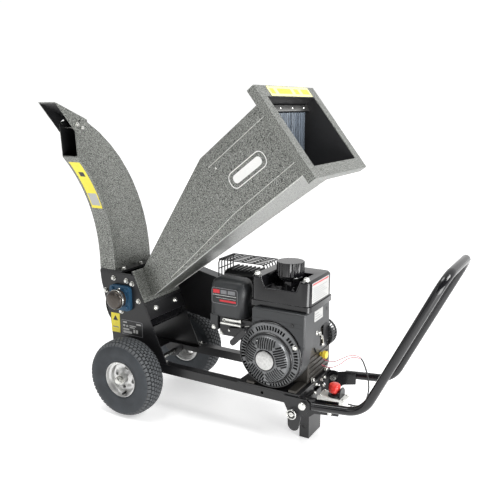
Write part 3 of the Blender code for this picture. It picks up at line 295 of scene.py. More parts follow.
def strip_pvc(name):
    nodes = Nodes(name)
    # Pale vertical bands over the dark PVC are painted highlights.
    highlight_streaks = nodes.add("ShaderNodeTexWave", {"bands_direction": "Y"}, Scale=30.0, Distortion=6.0)
    nodes.link(nodes.place, highlight_streaks.inputs["Vector"])
    stops = ((0.0, (0.05, 0.06, 0.075)), (1.0, (0.22, 0.26, 0.31)))
    nodes.link(nodes.ramp(highlight_streaks.outputs["Fac"], stops), nodes.shader.inputs["Base Color"])
    nodes.shader.inputs["Roughness"].default_value = 0.18
    nodes.shader.inputs["Alpha"].default_value = 0.72
    return nodes.material


PAINT = coat("black_paint", (0.009, 0.009, 0.010), 0.30)
SHEEN_BLACK = coat("gloss_black_paint", (0.006, 0.006, 0.007), 0.14, relief=0.05)
HAMMER = hammertone("hammertone_grey", (0.028, 0.030, 0.027), (0.37, 0.38, 0.355), 0.36, 440.0)
# SEAM_HIGHLIGHT is a pale copy of the grey hammertone: painted highlight along folds and edges.
SEAM_HIGHLIGHT = hammertone("hammertone_painted_highlight", (0.40, 0.41, 0.39), (0.80, 0.80, 0.77), 0.30)
# SHADE_BLACK is painted shade: near black for insides, holes, vents, pockets and groove lines.
SHADE_BLACK = coat("painted_shade_black", (0.012, 0.012, 0.013), 0.5)
SATIN = coat("satin_dark_grey", (0.026, 0.028, 0.030), 0.38, grain=420.0, relief=0.3)
# RIB_HIGHLIGHT: mid grey for the black slotted covers, a painted highlight on the thin ribs.
RIB_HIGHLIGHT = coat("cover_grey_painted_highlight", (0.150, 0.154, 0.158), 0.30, 0.3, grain=420.0, relief=0.2)
RUBBER = rubber("tyre_rubber")
SILVER = coat("rim_silver", (0.68, 0.68, 0.67), 0.30, 0.75, relief=0.08, vary=0.12)
ZINC = coat("zinc_plate", (0.66, 0.66, 0.63), 0.25, 0.95, relief=0.08, vary=0.15)
STEEL = coat("bright_steel", (0.50, 0.50, 0.49), 0.28, 1.0, relief=0.1)
BLUE = coat("bearing_blue", (0.018, 0.070, 0.135), 0.38, 0.2, grain=300.0, relief=0.4)
BRONZE = coat("cap_bronze", (0.070, 0.060, 0.052), 0.22, 0.6, grain=240.0, relief=0.1)
CASTING = coat("dark_casting", (0.052, 0.048, 0.042), 0.40, 0.5, grain=350.0, relief=0.5)
# GROOVE_SHADE: the tyre rubber darkened as painted shade in the grooves.
GROOVE_SHADE = coat("groove_rubber_painted_shade", (0.012, 0.013, 0.015), 0.8, grain=400.0, relief=0.3)
TREAD = coat("tread_rubber", (0.075, 0.080, 0.085), 0.62, grain=400.0, relief=0.3)
PLASTIC = coat("black_plastic", (0.011, 0.011, 0.012), 0.36, grain=520.0, relief=0.25)
RED = coat("red_plastic", (0.78, 0.045, 0.035), 0.28, relief=0.05, vary=0.08)
WHITE = coat("white_plastic", (0.78, 0.78, 0.75), 0.38, vary=0.06)
YELLOW = coat("yellow_plastic", (0.80, 0.60, 0.06), 0.35, vary=0.1)
PINK = coat("pink_insulation", (0.62, 0.10, 0.16), 0.4, vary=0.08)
PVC = strip_pvc("curtain_pvc")
LABEL_YELLOW = coat("label_yellow", (0.90, 0.76, 0.05), 0.4, relief=0.02, vary=0.05)
LABEL_PALE = coat("label_pale_yellow", (0.92, 0.86, 0.35), 0.4, relief=0.02, vary=0.05)
BADGE = coat("badge_white", (0.88, 0.88, 0.86), 0.4, relief=0.02, vary=0.04)
LABEL_WHITE = coat("label_white", (0.46, 0.46, 0.45), 0.4, relief=0.02, vary=0.05)
LABEL_RED = coat("label_red", (0.55, 0.02, 0.03), 0.4, relief=0.02, vary=0.05)
LABEL_GREY = coat("label_grey", (0.20, 0.20, 0.21), 0.4, 0.3, relief=0.02, vary=0.1)


# ---------------------------------------------------------------- mesh tools

SMOOTH = 38.0
EDGE_ANGLE = math.radians(32)


def soften(item, width, segments):
    """Soft edges by a bevel."""
    rounding = item.modifiers.new("edge", "BEVEL")
    rounding.width = width
    rounding.segments = segments
    rounding.limit_method = "ANGLE"
    rounding.angle_limit = EDGE_ANGLE
    rounding.harden_normals = True


def finish_piece(name, mesh, materials, body, smooth=SMOOTH, bevel=0.0, segments=2):
    """Make the object: shaded smooth below the given angle, with soft edges, on its body."""
    item = add_object(name, mesh)
    for material in materials:
        mesh.materials.append(material)
    for polygon in mesh.polygons:
        polygon.use_smooth = True
    mesh.set_sharp_from_angle(angle=math.radians(smooth))
    if bevel > 0.0:
        soften(item, bevel, segments)
    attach(item, body)
    return item


def shape(name, verts, faces, material, body="body", smooth=SMOOTH, bevel=0.0, segments=2):
    """A piece from points counted from HOME."""
    mesh = bpy.data.meshes.new(name)
    builder = bmesh.new()
    made = [builder.verts.new(HOME + Vector(point)) for point in verts]
    for face in faces:
        builder.faces.new([made[index] for index in face])
    bmesh.ops.recalc_face_normals(builder, faces=builder.faces)
    builder.to_mesh(mesh)
    builder.free()
    return finish_piece(name, mesh, [material], body, smooth, bevel, segments)


def refine(node, material, bevel=0.0007, smooth=SMOOTH, segments=2, inside=None, test=None):
    """A smoother twin of a CAD node that stands for it; faces that pass the test are the inside."""
    mesh = bpy.data.meshes.new(node + "_skin")
    builder = bmesh.new()
    builder.from_mesh(frame["nodes"][node].data)
    bmesh.ops.remove_doubles(builder, verts=builder.verts, dist=1e-6)
    bmesh.ops.dissolve_limit(builder, angle_limit=math.radians(0.6), verts=builder.verts,
                             edges=builder.edges)
    for face in builder.faces:
        face.material_index = 0
        if test and test([vertex.co - HOME for vertex in face.verts]):
            face.material_index = 1
    builder.to_mesh(mesh)
    builder.free()
    item = finish_piece(node + "_skin", mesh, [material] + ([inside] if inside else []),
                        BODY_OF[node], smooth, bevel, segments)
    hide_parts(node)
    return item


def repaint(node, material):
    """Keep a CAD node and give it a finished material."""
    slots = frame["nodes"][node].data.materials
    slots.clear()
    slots.append(material)


def along(axis, first, second, height):
    """A point from two in-plane coordinates and one along the axis."""
    if axis == "X":
        return Vector((height, first, second))
    if axis == "Y":
        return Vector((first, height, second))
    return Vector((first, second, height))


def on_x(level):
    """Places on a face that looks to +X: u runs along Y, v runs up."""
    return lambda u, v, height: Vector((level + height, u, v))


def on_y(level):
    """Places on a face that looks to -Y: u runs along X, v runs up."""
    return lambda u, v, height: Vector((u, level - height, v))


def on_slope(point, down, out):
    """Places on a leaning face: u runs along Y, v runs down the face."""
    return lambda u, v, height: point + down * v + out * height + Vector((0.0, u, 0.0))


def spoke(angle):
    """Unit vectors outward and onward in the X-Z plane."""
    return (Vector((math.cos(angle), 0.0, math.sin(angle))),
            Vector((-math.sin(angle), 0.0, math.cos(angle))))


def sheet_part(name, material, place, outline, low, high, holes=(), body="body", bevel=0.0,
               smooth=SMOOTH):
    """A plate with holes; place(u, v, h) gives the point."""
    loops = [list(outline)] + [list(hole) for hole in holes]
    points = [point for loop in loops for point in loop]
    count = len(points)
    verts = [place(u, v, low) for u, v in points] + [place(u, v, high) for u, v in points]
    if holes:
        triangles = tessellate_polygon([[Vector((u, v, 0.0)) for u, v in loop] for loop in loops])
        faces = [tuple(tri) for tri in triangles]
        faces += [tuple(index + count for index in reversed(tri)) for tri in triangles]
    else:
        faces = [tuple(range(count)), tuple(range(2 * count - 1, count - 1, -1))]
    start = 0
    for loop in loops:
        size = len(loop)
        for index in range(size):
            here = start + index
            after = start + (index + 1) % size
            faces.append((here, after, after + count, here + count))
        start += size
    return shape(name, verts, faces, material, body, smooth, bevel)


def plate(name, material, axis, outline, low, high, holes=(), body="body", bevel=0.0):
    return sheet_part(name, material, lambda *point: along(axis, *point), outline, low, high,
                      holes, body, bevel)


def block(name, material, x_span, y_span, z_span, body="body", bevel=0.0):
    outline = rectangle(*x_span, *y_span)
    return plate(name, material, "Z", outline, z_span[0], z_span[1], (), body, bevel)


def rectangle(a_low, a_high, b_low, b_high):
    return [(a_low, b_low), (a_high, b_low), (a_high, b_high), (a_low, b_high)]


def arc(centre_a, centre_b, radius, start, end, steps):
    """Points on an arc, angles in degrees, both ends included."""
    points = []
    for index in range(steps + 1):
        angle = math.radians(start + (end - start) * index / steps)
        points.append((centre_a + radius * math.cos(angle), centre_b + radius * math.sin(angle)))
    return points


def circle(centre_a, centre_b, radius, steps=24):
    return arc(centre_a, centre_b, radius, 0.0, 360.0 - 360.0 / steps, steps - 1)


def rounded(a_low, a_high, b_low, b_high, radius, steps=4):
    corners = ((a_high - radius, b_high - radius, 0), (a_low + radius, b_high - radius, 90),
               (a_low + radius, b_low + radius, 180), (a_high - radius, b_low + radius, 270))
    points = []
    for centre_a, centre_b, start in corners:
        points += arc(centre_a, centre_b, radius, start, start + 90, steps)
    return points


def basis(direction):
    """Two unit vectors square to a direction."""
    first = direction.orthogonal().normalized()
    return first, direction.cross(first).normalized()


def revolve(name, material, centre, direction, profile, steps=48, body="body", bevel=0.0, smooth=SMOOTH):
    """A body of revolution about a direction; profile is a list of (radius, height)."""
    centre = Vector(centre)
    direction = Vector(direction).normalized()
    first, second = basis(direction)
    on_axis = profile[0][0] < 1e-9
    rows = profile[1:-1] if on_axis else profile
    verts = []
    for index in range(steps):
        angle = 2.0 * math.pi * index / steps
        out = first * math.cos(angle) + second * math.sin(angle)
        verts += [centre + out * radius + direction * height for radius, height in rows]
    width = len(rows)
    faces = []
    for index in range(steps):
        here = index * width
        after = ((index + 1) % steps) * width
        for row in range(width - 1):
            faces.append((here + row, after + row, after + row + 1, here + row + 1))
        if not on_axis:
            faces.append((here + width - 1, after + width - 1, after, here))
    if on_axis:
        for row, height in ((0, profile[0][1]), (width - 1, profile[-1][1])):
            verts.append(centre + direction * height)
            tip = len(verts) - 1
            for index in range(steps):
                after = ((index + 1) % steps) * width
                faces.append((index * width + row, after + row, tip))
    return shape(name, verts, faces, material, body, smooth, bevel)


def hex_bolt(name, centre, direction, size, material=None, body="body", washer=True):
    """A hexagon head on a washer; size is half the width over the flats."""
    direction = Vector(direction).normalized()
    first, second = basis(direction)
    verts = []
    faces = []

    def ring(radius, height, steps, turn=0.0):
        start = len(verts)
        for index in range(steps):
            angle = 2.0 * math.pi * index / steps + turn
            verts.append(Vector(centre) + (first * math.cos(angle) + second * math.sin(angle)) * radius
                         + direction * height)
        return start

    def prism(rings, steps):
        for a, b in zip(rings, rings[1:]):
            for index in range(steps):
                after = (index + 1) % steps
                faces.append((a + index, a + after, b + after, b + index))
        faces.append(tuple(rings[0] + index for index in reversed(range(steps))))
        faces.append(tuple(rings[-1] + index for index in range(steps)))
    start = 0.0
    if washer:
        thick = size * 0.22
        prism([ring(size * 1.45, 0.0, 20), ring(size * 1.45, thick, 20)], 20)
        start = thick
    corner = size * 1.155
    prism([ring(corner, start, 6), ring(corner, start + size * 0.85, 6),
           ring(size * 0.92, start + size * 1.05, 6)], 6)
    return shape(name, verts, faces, material or ZINC, body, 30.0)


def bolts(name, places, direction, size, **options):
    for number, place in enumerate(places, 1):
        hex_bolt(f"{name}_{number}", place, direction, size, **options)


def rivets(name, places, direction, radius, material=None, body="body"):
    for number, place in enumerate(places, 1):
        profile = [(0.0, radius * 0.55), (radius * 0.6, radius * 0.45), (radius, 0.0), (0.0, 0.0)]
        revolve(f"{name}_{number}", material or ZINC, place, direction, profile, 16, body, 0.0, 60.0)


def carve(item, cutters):
    """Take the cutters away from a piece for good."""
    for cutter in cutters:
        step = item.modifiers.new("cut", "BOOLEAN")
        step.operation = "DIFFERENCE"
        step.solver = "EXACT"
        step.object = cutter
    moved = [modifier for modifier in item.modifiers if modifier.type != "BOOLEAN"]
    kept = [(modifier.width, modifier.segments) for modifier in moved]
    for modifier in moved:
        item.modifiers.remove(modifier)
    bpy.context.view_layer.update()
    graph = bpy.context.evaluated_depsgraph_get()
    mesh = bpy.data.meshes.new_from_object(item.evaluated_get(graph))
    item.modifiers.clear()
    item.data = mesh
    mesh.set_sharp_from_angle(angle=math.radians(SMOOTH))
    for cutter in cutters:
        bpy.data.objects.remove(cutter, do_unlink=True)
    for width, segments in kept:
        soften(item, width, segments)


def slot_boxes(name, centre, slots, width, low, high):
    """One cutter mesh of long boxes in the X-Z plane, each as (degrees, aside, inner, outer)."""
    verts = []
    faces = []
    for degrees, aside, inner, outer in slots:
        out, side = spoke(math.radians(degrees))
        start = len(verts)
        for height in (low, high):
            for reach, sign in ((inner, -1), (outer, -1), (outer, 1), (inner, 1)):
                across = side * (aside + sign * width / 2)
                verts.append(Vector(centre) + out * reach + across + Vector((0.0, height, 0.0)))
        faces += [(start, start + 1, start + 2, start + 3), (start + 7, start + 6, start + 5, start + 4)]
        for index in range(4):
            after = (index + 1) % 4
            faces.append((start + index, start + index + 4, start + after + 4, start + after))
    return shape(name, verts, faces, PAINT)


# ---------------------------------------------------------------- cords

LEAD_ROUTES = (
    ("ignition_lead_upper", 0.0011, PINK,
     ((0.6243, 0.0200, 0.2450), (0.6400, 0.0180, 0.2440), (0.6640, 0.0120, 0.2480),
      (0.6900, 0.0040, 0.2640), (0.7160, -0.0040, 0.2820), (0.7400, -0.0100, 0.2905),
      (0.7600, -0.0150, 0.2890))),
    ("ignition_lead_lower", 0.0011, PINK,
     ((0.6243, 0.0100, 0.2300), (0.6400, 0.0080, 0.2280), (0.6620, 0.0020, 0.2320),
      (0.6900, -0.0040, 0.2500), (0.7160, -0.0090, 0.2740), (0.7400, -0.0135, 0.2860),
      (0.7600, -0.0178, 0.2866))),
    ("stop_cable", 0.0022, PLASTIC,
     ((0.7616, -0.0164, 0.2876), (0.7680, -0.0190, 0.2820), (0.7820, -0.0260, 0.2580),
      (0.7930, -0.0330, 0.2250), (0.7950, -0.0370, 0.1950), (0.7860, -0.0370, 0.1640),
      (0.7640, -0.0340, 0.1430), (0.7440, -0.0300, 0.1390), (0.7313, -0.0300, 0.1390))),
)


def leads():
    for name, radius, material, route in LEAD_ROUTES:
        points = smooth_route(route, radius * 5.0)
        cord = wire(name + "_cord", points, radius, material)
        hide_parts(name)
        length_of(points)


make_camera()
leads()
studio()


# ---------------------------------------------------------------- floor

FLOOR_GAP = 0.0005


def floor():
    nodes = Nodes("studio_floor")
    nodes.shader.inputs["Base Color"].default_value = (0.80, 0.80, 0.80, 1.0)
    nodes.shader.inputs["Emission Color"].default_value = (1.0, 1.0, 1.0, 1.0)
    nodes.shader.inputs["Emission Strength"].default_value = 0.48
    nodes.link(nodes.span(nodes.noise(3.0), 0.3, 0.5), nodes.shader.inputs["Roughness"])
    mesh = bpy.data.meshes.new("floor")
    reach = 40.0
    mesh.from_pydata([(-reach, -reach, 0.0), (reach, -reach, 0.0), (reach, reach, 0.0),
                      (-reach, reach, 0.0)], [], [(0, 1, 2, 3)])
    mesh.materials.append(nodes.material)
    item = add_object("floor", mesh)
    item.location.z = -FLOOR_GAP


# ---------------------------------------------------------------- wheels

TYRE_RADIUS = (RIGHT_HIGH.z - RIGHT_LOW.z) / 2
TYRE_WIDTH = RIGHT_HIGH.y - RIGHT_LOW.y
RIM_LOW, RIM_HIGH = cad("rim_right")
RIM_RADIUS = (RIM_HIGH.z - RIM_LOW.z) / 2
TREAD_HALF = 0.0375


def wheel_centre(sign):
    return Vector((0.0, sign * (LEFT_HIGH.y - HOME.y - TYRE_WIDTH / 2), TYRE_RADIUS))


def crown(across):
    """Radius of the tread at a distance from the tyre's middle plane."""
    return TYRE_RADIUS - 0.0015 - 0.009 * (abs(across) / TREAD_HALF) ** 3


def tyre(side, sign):
    centre = wheel_centre(sign)
    half = TYRE_WIDTH / 2
    bead = RIM_RADIUS + 0.0006
    ply = 0.0065
    wall = [(bead, 0.033), (0.0655, 0.0362), (0.0700, 0.0385), (0.0715, 0.0380), (0.0850, 0.0415),
            (0.0960, half - 0.0003), (0.1060, half - 0.0005), (0.1130, 0.0405), (0.1180, 0.0385)]
    tread = [(crown(across) - ply, across) for across in (0.0365, 0.031, 0.024, 0.016, 0.008)]
    side_profile = wall + tread
    profile = side_profile + [(crown(0.0) - ply, 0.0)]
    profile += [(radius, -height) for radius, height in reversed(side_profile)]
    profile += [(0.0645, -0.020), (0.0645, 0.020)]
    first = revolve(f"tyre_{side}_carcass", RUBBER, centre, (0, 1, 0), profile, 96,
                    f"wheel_{side}", 0.0, 50.0)
    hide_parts(f"tyre_{side}")
    # The tread floor between the lugs gets painted shade.
    first.data.materials.append(GROOVE_SHADE)
    for face in first.data.polygons:
        off_axle = face.center - HOME - centre
        if abs(off_axle.y) < half - 0.006 and off_axle.xz.length > 0.112:
            face.material_index = 1
    verts, faces = [], []
    rows, around = 7, 54
    for row in range(rows):
        across = -0.0345 + 0.069 * row / (rows - 1)
        for number in range(around):
            angle = 2.0 * math.pi * (number + 0.5 * (row % 2)) / around
            out, run = spoke(angle)
            slope = -0.027 * (abs(across) / TREAD_HALF) ** 2 * math.copysign(1.0, across) / TREAD_HALF
            start = len(verts)
            for height, wide, long in ((-0.0070, 0.0048, 0.0062), (0.0, 0.0040, 0.0052)):
                for a, b in ((-1, -1), (1, -1), (1, 1), (-1, 1)):
                    offset = across + a * wide
                    radius = crown(across) + slope * 0.9 * a * wide + height
                    verts.append(centre + out * radius + run * b * long + Vector((0.0, offset, 0.0)))
            faces.append((start + 4, start + 5, start + 6, start + 7))
            faces.append((start + 3, start + 2, start + 1, start))
            for index in range(4):
                after = (index + 1) % 4
                faces.append((start + index, start + after, start + after + 4, start + index + 4))
    lugs = shape(f"tyre_{side}_tread", verts, faces, TREAD, f"wheel_{side}", 20.0)


def rim(side, sign):
    body = f"wheel_{side}"
    centre = wheel_centre(sign)
    outward = Vector((0.0, sign, 0.0))
    profile = [(RIM_RADIUS, -0.0352), (RIM_RADIUS, -0.022), (0.0535, -0.019), (0.0535, 0.019),
               (RIM_RADIUS, 0.022), (RIM_RADIUS, 0.0352), (0.0598, 0.0358), (0.0585, 0.0352),
               (0.0575, 0.0245), (0.0545, 0.0215), (0.0510, 0.0200), (0.0490, 0.0150),
               (0.0470, 0.0100), (0.0430, 0.0078), (0.0360, 0.0075), (0.0300, 0.0092),
               (0.0240, 0.0125), (0.0205, 0.0130), (0.0175, 0.0150), (0.0165, 0.0330), (0.0155, 0.0338),
               (0.0087, 0.0338), (0.0087, -0.0338), (0.0155, -0.0338), (0.0165, -0.0330),
               (0.0190, -0.0115), (0.0360, -0.0045), (0.0475, -0.003), (0.0505, -0.021), (0.0575, -0.024),
               (0.0585, -0.0352)]
    disc = revolve(f"rim_{side}_disc", SILVER, centre, outward, profile, 72, body)
    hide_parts(f"rim_{side}")
    first, second = basis(outward)
    slots = []
    for number in range(4):
        angle = math.radians(90.0 * number + 30.0)
        out = first * math.cos(angle) + second * math.sin(angle)
        run = outward.cross(out)

        def place(u, v, height, out=out, run=run):
            return centre + out * (0.0355 + u) + run * v + outward * height
        slots.append(sheet_part(f"slot_{side}_{number}", SILVER, place,
                                rounded(-0.0065, 0.0065, -0.0100, 0.0100, 0.006), -0.02, 0.04))
    carve(disc, slots)
    revolve(f"hub_seal_{side}", PLASTIC, centre, outward,
            [(0.0090, 0.0338), (0.0140, 0.0338), (0.0140, 0.0352), (0.0090, 0.0352)], 32, body)
    stem = centre + (first * 0.6 + second * 0.8) * 0.0505
    revolve(f"valve_stem_{side}", PLASTIC, stem, outward,
            [(0.0, 0.016), (0.0042, 0.016), (0.0036, 0.026), (0.0036, 0.034), (0.0, 0.034)], 16, body)


def axle():
    refine("axle", ZINC, 0.0005)
    low, high = cad("axle")
    for (side, sign), end in zip(SIDES, (low.y, high.y)):
        hex_bolt(f"axle_nut_{side}", (0.0, end - sign * 0.0175, TYRE_RADIUS), (0.0, sign, 0.0), 0.0115)


# ---------------------------------------------------------------- chassis

ENGINE_FOOT_X = (0.440, 0.585)
ENGINE_FOOT_Y = 0.105
CAP_GAP = 0.0002
CAP_REACH = 0.0018


def chassis():
    for node in ("rail_right", "rail_left", "front_cross_member", "engine_plate", "front_foot",
                 "housing_base_plate"):
        refine(node, PAINT, 0.0012 if node.startswith("rail") else 0.0006)
    low, high = cad("rail_right")
    for side, sign in SIDES:
        for end, x, way, outside in (("rear", low.x, -1, 0.1195), ("front", high.x, 1, 0.1150)):
            near, far = sorted((sign * 0.0905, sign * outside))
            start, stop = sorted((x + way * CAP_GAP, x + way * CAP_REACH))
            plate(f"rail_cap_{end}_{side}", PLASTIC, "X", rounded(near, far, 0.142, 0.171, 0.003),
                  start, stop)
    deck = cad("engine_plate")[1].z
    places = [(x, sign * ENGINE_FOOT_Y, deck) for x in ENGINE_FOOT_X for sign in (-1, 1)]
    bolts("engine_foot_bolt", places, (0, 0, 1), 0.0065)
    base_top = cad("housing_base_plate")[1].z
    bolts("base_bolt", [(0.105, y, base_top) for y in (-0.105, 0.105)], (0, 0, 1), 0.0055)


floor()
for wheel_side, wheel_sign in SIDES:
    tyre(wheel_side, wheel_sign)
    rim(wheel_side, wheel_sign)
axle()
chassis()


# ---------------------------------------------------------------- rotor housing

HOUSING_RIGHT = cad("housing_side_right")[0].y
HOUSING_LEFT = cad("housing_side_left")[1].y
ROTOR_LOW, ROTOR_HIGH = cad("rotor_shaft")
ROTOR = Vector(((ROTOR_LOW.x + ROTOR_HIGH.x) / 2, 0.0, (ROTOR_LOW.z + ROTOR_HIGH.z) / 2))


def housing():
    for node in ("housing_side_right", "housing_side_left", "housing_shell", "throat_frame",
                 "housing_top_plate"):
        refine(node, SHEEN_BLACK if node == "housing_shell" else PAINT, 0.0005)
    refine("anvil_block", STEEL)
    spots = ((-0.095, 0.447), (-0.039, 0.444), (-0.015, 0.436), (0.010, 0.379), (-0.132, 0.399),
             (-0.066, 0.333))
    bolts("side_bolt_right", [(x, HOUSING_RIGHT, z) for x, z in spots], (0, -1, 0), 0.0062)
    bolts("side_bolt_left", [(x, HOUSING_LEFT, z) for x, z in spots[:3]], (0, 1, 0), 0.0062)
    top = cad("housing_top_plate")[1].z
    bolts("flange_bolt", [(-0.075, y, top) for y in (-0.090, 0.000, 0.055)], (0, 0, 1), 0.0060)


def decal(name, material, place, outline, lift=0.0003):
    return sheet_part(name, material, place, outline, 0.0001, lift)


def housing_labels():
    on_side = on_y(HOUSING_RIGHT)
    decal("side_label_yellow", LABEL_YELLOW, on_side, rounded(-0.114, -0.076, 0.253, 0.322, 0.002))
    triangle = [(-0.106, 0.296), (-0.084, 0.296), (-0.095, 0.314)]
    decal("side_label_mark", PLASTIC, on_side, triangle, 0.0004)
    decal("side_label_bar", LABEL_GREY, on_side, rectangle(-0.108, -0.083, 0.270, 0.2735), 0.0004)
    decal("rating_plate", LABEL_GREY, on_side, rounded(-0.068, 0.022, 0.251, 0.304, 0.003))
    decal("rating_plate_face", PLASTIC, on_side, rounded(-0.066, 0.020, 0.253, 0.302, 0.003), 0.0004)
    for number, (low, high, bottom, top) in enumerate((
            (-0.062, -0.045, 0.293, 0.298), (-0.062, -0.053, 0.280, 0.287), (-0.048, -0.040, 0.279, 0.286),
            (-0.034, -0.006, 0.284, 0.287), (-0.034, -0.012, 0.278, 0.281), (-0.004, 0.016, 0.292, 0.297),
            (-0.062, -0.024, 0.257, 0.265), (-0.062, -0.036, 0.268, 0.274), (-0.018, -0.010, 0.262, 0.274),
            (-0.006, 0.002, 0.262, 0.274)), 1):
        decal(f"rating_plate_field_{number}", LABEL_WHITE, on_side,
              rectangle(low, high, bottom, top), 0.0005)


FLANGE_THICKNESS = 0.0143
BEARING_BOLT_REACH = 0.030


def bearing(side, sign):
    refine(f"bearing_unit_{side}", BLUE, 0.002, segments=3)
    face = (HOUSING_RIGHT if sign < 0 else HOUSING_LEFT) + sign * FLANGE_THICKNESS
    outward = (0.0, sign, 0.0)
    for number, (u, v) in enumerate(((-1, -1), (1, -1), (1, 1), (-1, 1)), 1):
        place = (ROTOR.x + u * BEARING_BOLT_REACH, face, ROTOR.z + v * BEARING_BOLT_REACH)
        hex_bolt(f"bearing_bolt_{side}_{number}", place, outward, 0.0058, BLUE, washer=False)
    nipple = (ROTOR.x + 0.004, face, ROTOR.z + 0.034)
    revolve(f"grease_nipple_{side}", ZINC, nipple, outward,
            [(0.0, 0.012), (0.0016, 0.012), (0.0024, 0.009), (0.0016, 0.007), (0.0032, 0.005),
             (0.0032, 0.0), (0.0, 0.0)], 12)
    if sign < 0:
        end = cad("bearing_unit_right")[0].y
        centre = (ROTOR.x, end, ROTOR.z)
        revolve("bearing_cap_skin", BRONZE, centre, (0, 1, 0),
                [(0.0, -0.0004), (0.0262, -0.0004), (0.0300, 0.0020), (0.0325, 0.0052), (0.0325, 0.0300),
                 (0.0322, 0.0300), (0.0322, 0.0055), (0.0268, 0.0005), (0.0, 0.0005)], 48)
        revolve("bearing_cap_band", ZINC, centre, (0, 1, 0),
                [(0.0326, 0.0120), (0.0334, 0.0130), (0.0334, 0.0180), (0.0326, 0.0190)], 48)


def rotor_parts():
    refine("rotor_shaft", STEEL, 0.0008)
    refine("rotor_drum", PAINT, 0.0008)


housing()
housing_labels()
for bearing_side, bearing_sign in SIDES:
    bearing(bearing_side, bearing_sign)
rotor_parts()


# ---------------------------------------------------------------- feed hopper

SHEET = 0.002
THROAT_POINT = Vector((-0.0176, 0.0, 0.478))
THROAT_DOWN = Vector((0.4138, 0.0, -0.9104))
THROAT_OUT = Vector((0.9104, 0.0, 0.4138))
MOUTH_TOP = Vector((0.490, 0.0, 1.077))
MOUTH_DOWN = Vector((0.6151, 0.0, -0.7884))
MOUTH_OUT = Vector((0.7884, 0.0, 0.6151))
RIM_BOX = cad("hopper_mouth_rim")
MOUTH_Y = (RIM_BOX[0].y, RIM_BOX[1].y)
MOUTH_OPEN = (0.0372, 0.2700)
MOUTH_BORDER = 0.040
HOPPER_RINGS = (
    (THROAT_POINT + THROAT_DOWN * 0.006 + THROAT_OUT * 0.0079,
     THROAT_POINT + THROAT_DOWN * 0.104 + THROAT_OUT * 0.0079, -0.071, 0.041),
    (Vector((0.268, 0.0, 0.866)), Vector((0.4109, 0.0, 0.6772)), -0.1213, 0.1165),
    (MOUTH_TOP + MOUTH_DOWN * 0.0352 - MOUTH_OUT * 0.0023,
     MOUTH_TOP + MOUTH_DOWN * 0.2720 - MOUTH_OUT * 0.0023,
     MOUTH_Y[0] + MOUTH_BORDER - SHEET, MOUTH_Y[1] - MOUTH_BORDER + SHEET))


def hopper_skin():
    """Outer enamel and an inside of black painted shade, one sheet."""
    mesh = bpy.data.meshes.new("feed_hopper_skin")
    builder = bmesh.new()
    layers = []
    for inset in (0.0, SHEET):
        rings = []
        for top, bottom, right, left in HOPPER_RINGS:
            up = (top - bottom).normalized() * inset
            corners = ((bottom + up, right + inset), (bottom + up, left - inset),
                       (top - up, left - inset), (top - up, right + inset))
            rings.append([builder.verts.new(HOME + point + Vector((0.0, y, 0.0))) for point, y in corners])
        layers.append(rings)
    for layer, rings in enumerate(layers):
        for here, after in zip(rings, rings[1:]):
            for corner in range(4):
                turn = (corner + 1) % 4
                face = builder.faces.new((here[corner], here[turn], after[turn], after[corner]))
                face.material_index = layer
    for end in (0, -1):
        for corner in range(4):
            turn = (corner + 1) % 4
            builder.faces.new((layers[0][end][corner], layers[0][end][turn], layers[1][end][turn],
                               layers[1][end][corner]))
    bmesh.ops.recalc_face_normals(builder, faces=builder.faces)
    builder.to_mesh(mesh)
    builder.free()
    item = finish_piece("feed_hopper_skin", mesh, [HAMMER, SHADE_BLACK], "body", 20.0, 0.0012)
    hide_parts("feed_hopper")


def side_point(side, share, part, lift=0.0):
    """A point on a hopper side: share runs throat 0, knee 1, mouth 2; part runs bottom to top."""
    index = min(int(share), 1)
    local = share - index
    near = HOPPER_RINGS[index]
    far = HOPPER_RINGS[index + 1]
    top = near[0].lerp(far[0], local)
    bottom = near[1].lerp(far[1], local)
    column = 2 if side == "right" else 3
    y = near[column] + (far[column] - near[column]) * local
    sign = -1.0 if side == "right" else 1.0
    return bottom.lerp(top, part) + Vector((0.0, y + sign * lift, 0.0))


def hopper_seams():
    """Folded seams along the side sheets in pale enamel, a painted highlight, with a rivet at each end."""
    for side, sign in SIDES:
        for name, parts, begin, end in (("top", (0.870, 0.835, 0.840), 1.03, 1.90),
                                        ("bottom", (0.060, 0.165, 0.185), 0.25, 1.93)):
            steps = 14
            points = []
            for index in range(steps + 1):
                share = begin + (end - begin) * index / steps
                if share < 1.0:
                    part = parts[0] + (parts[1] - parts[0]) * share
                else:
                    part = parts[1] + (parts[2] - parts[1]) * (share - 1.0)
                points.append(side_point(side, share, part))
            wire(f"hopper_seam_{name}_{side}", points, 0.0010, SEAM_HIGHLIGHT)
        outward = (0.0, sign, 0.0)
        ends = [side_point(side, 1.93, 0.840), side_point(side, 1.10, 0.765)]
        rivets(f"hopper_rivet_{side}", ends, outward, 0.0035)


def hopper_hem():
    """Edge flange where the bottom sheet laps the sides, in pale enamel as a painted highlight."""
    for side, _ in SIDES:
        points = [side_point(side, 0.02 + 1.93 * index / 20, 0.0, 0.0008) for index in range(21)]
        wire(f"hopper_hem_{side}", points, 0.0016, SEAM_HIGHLIGHT)


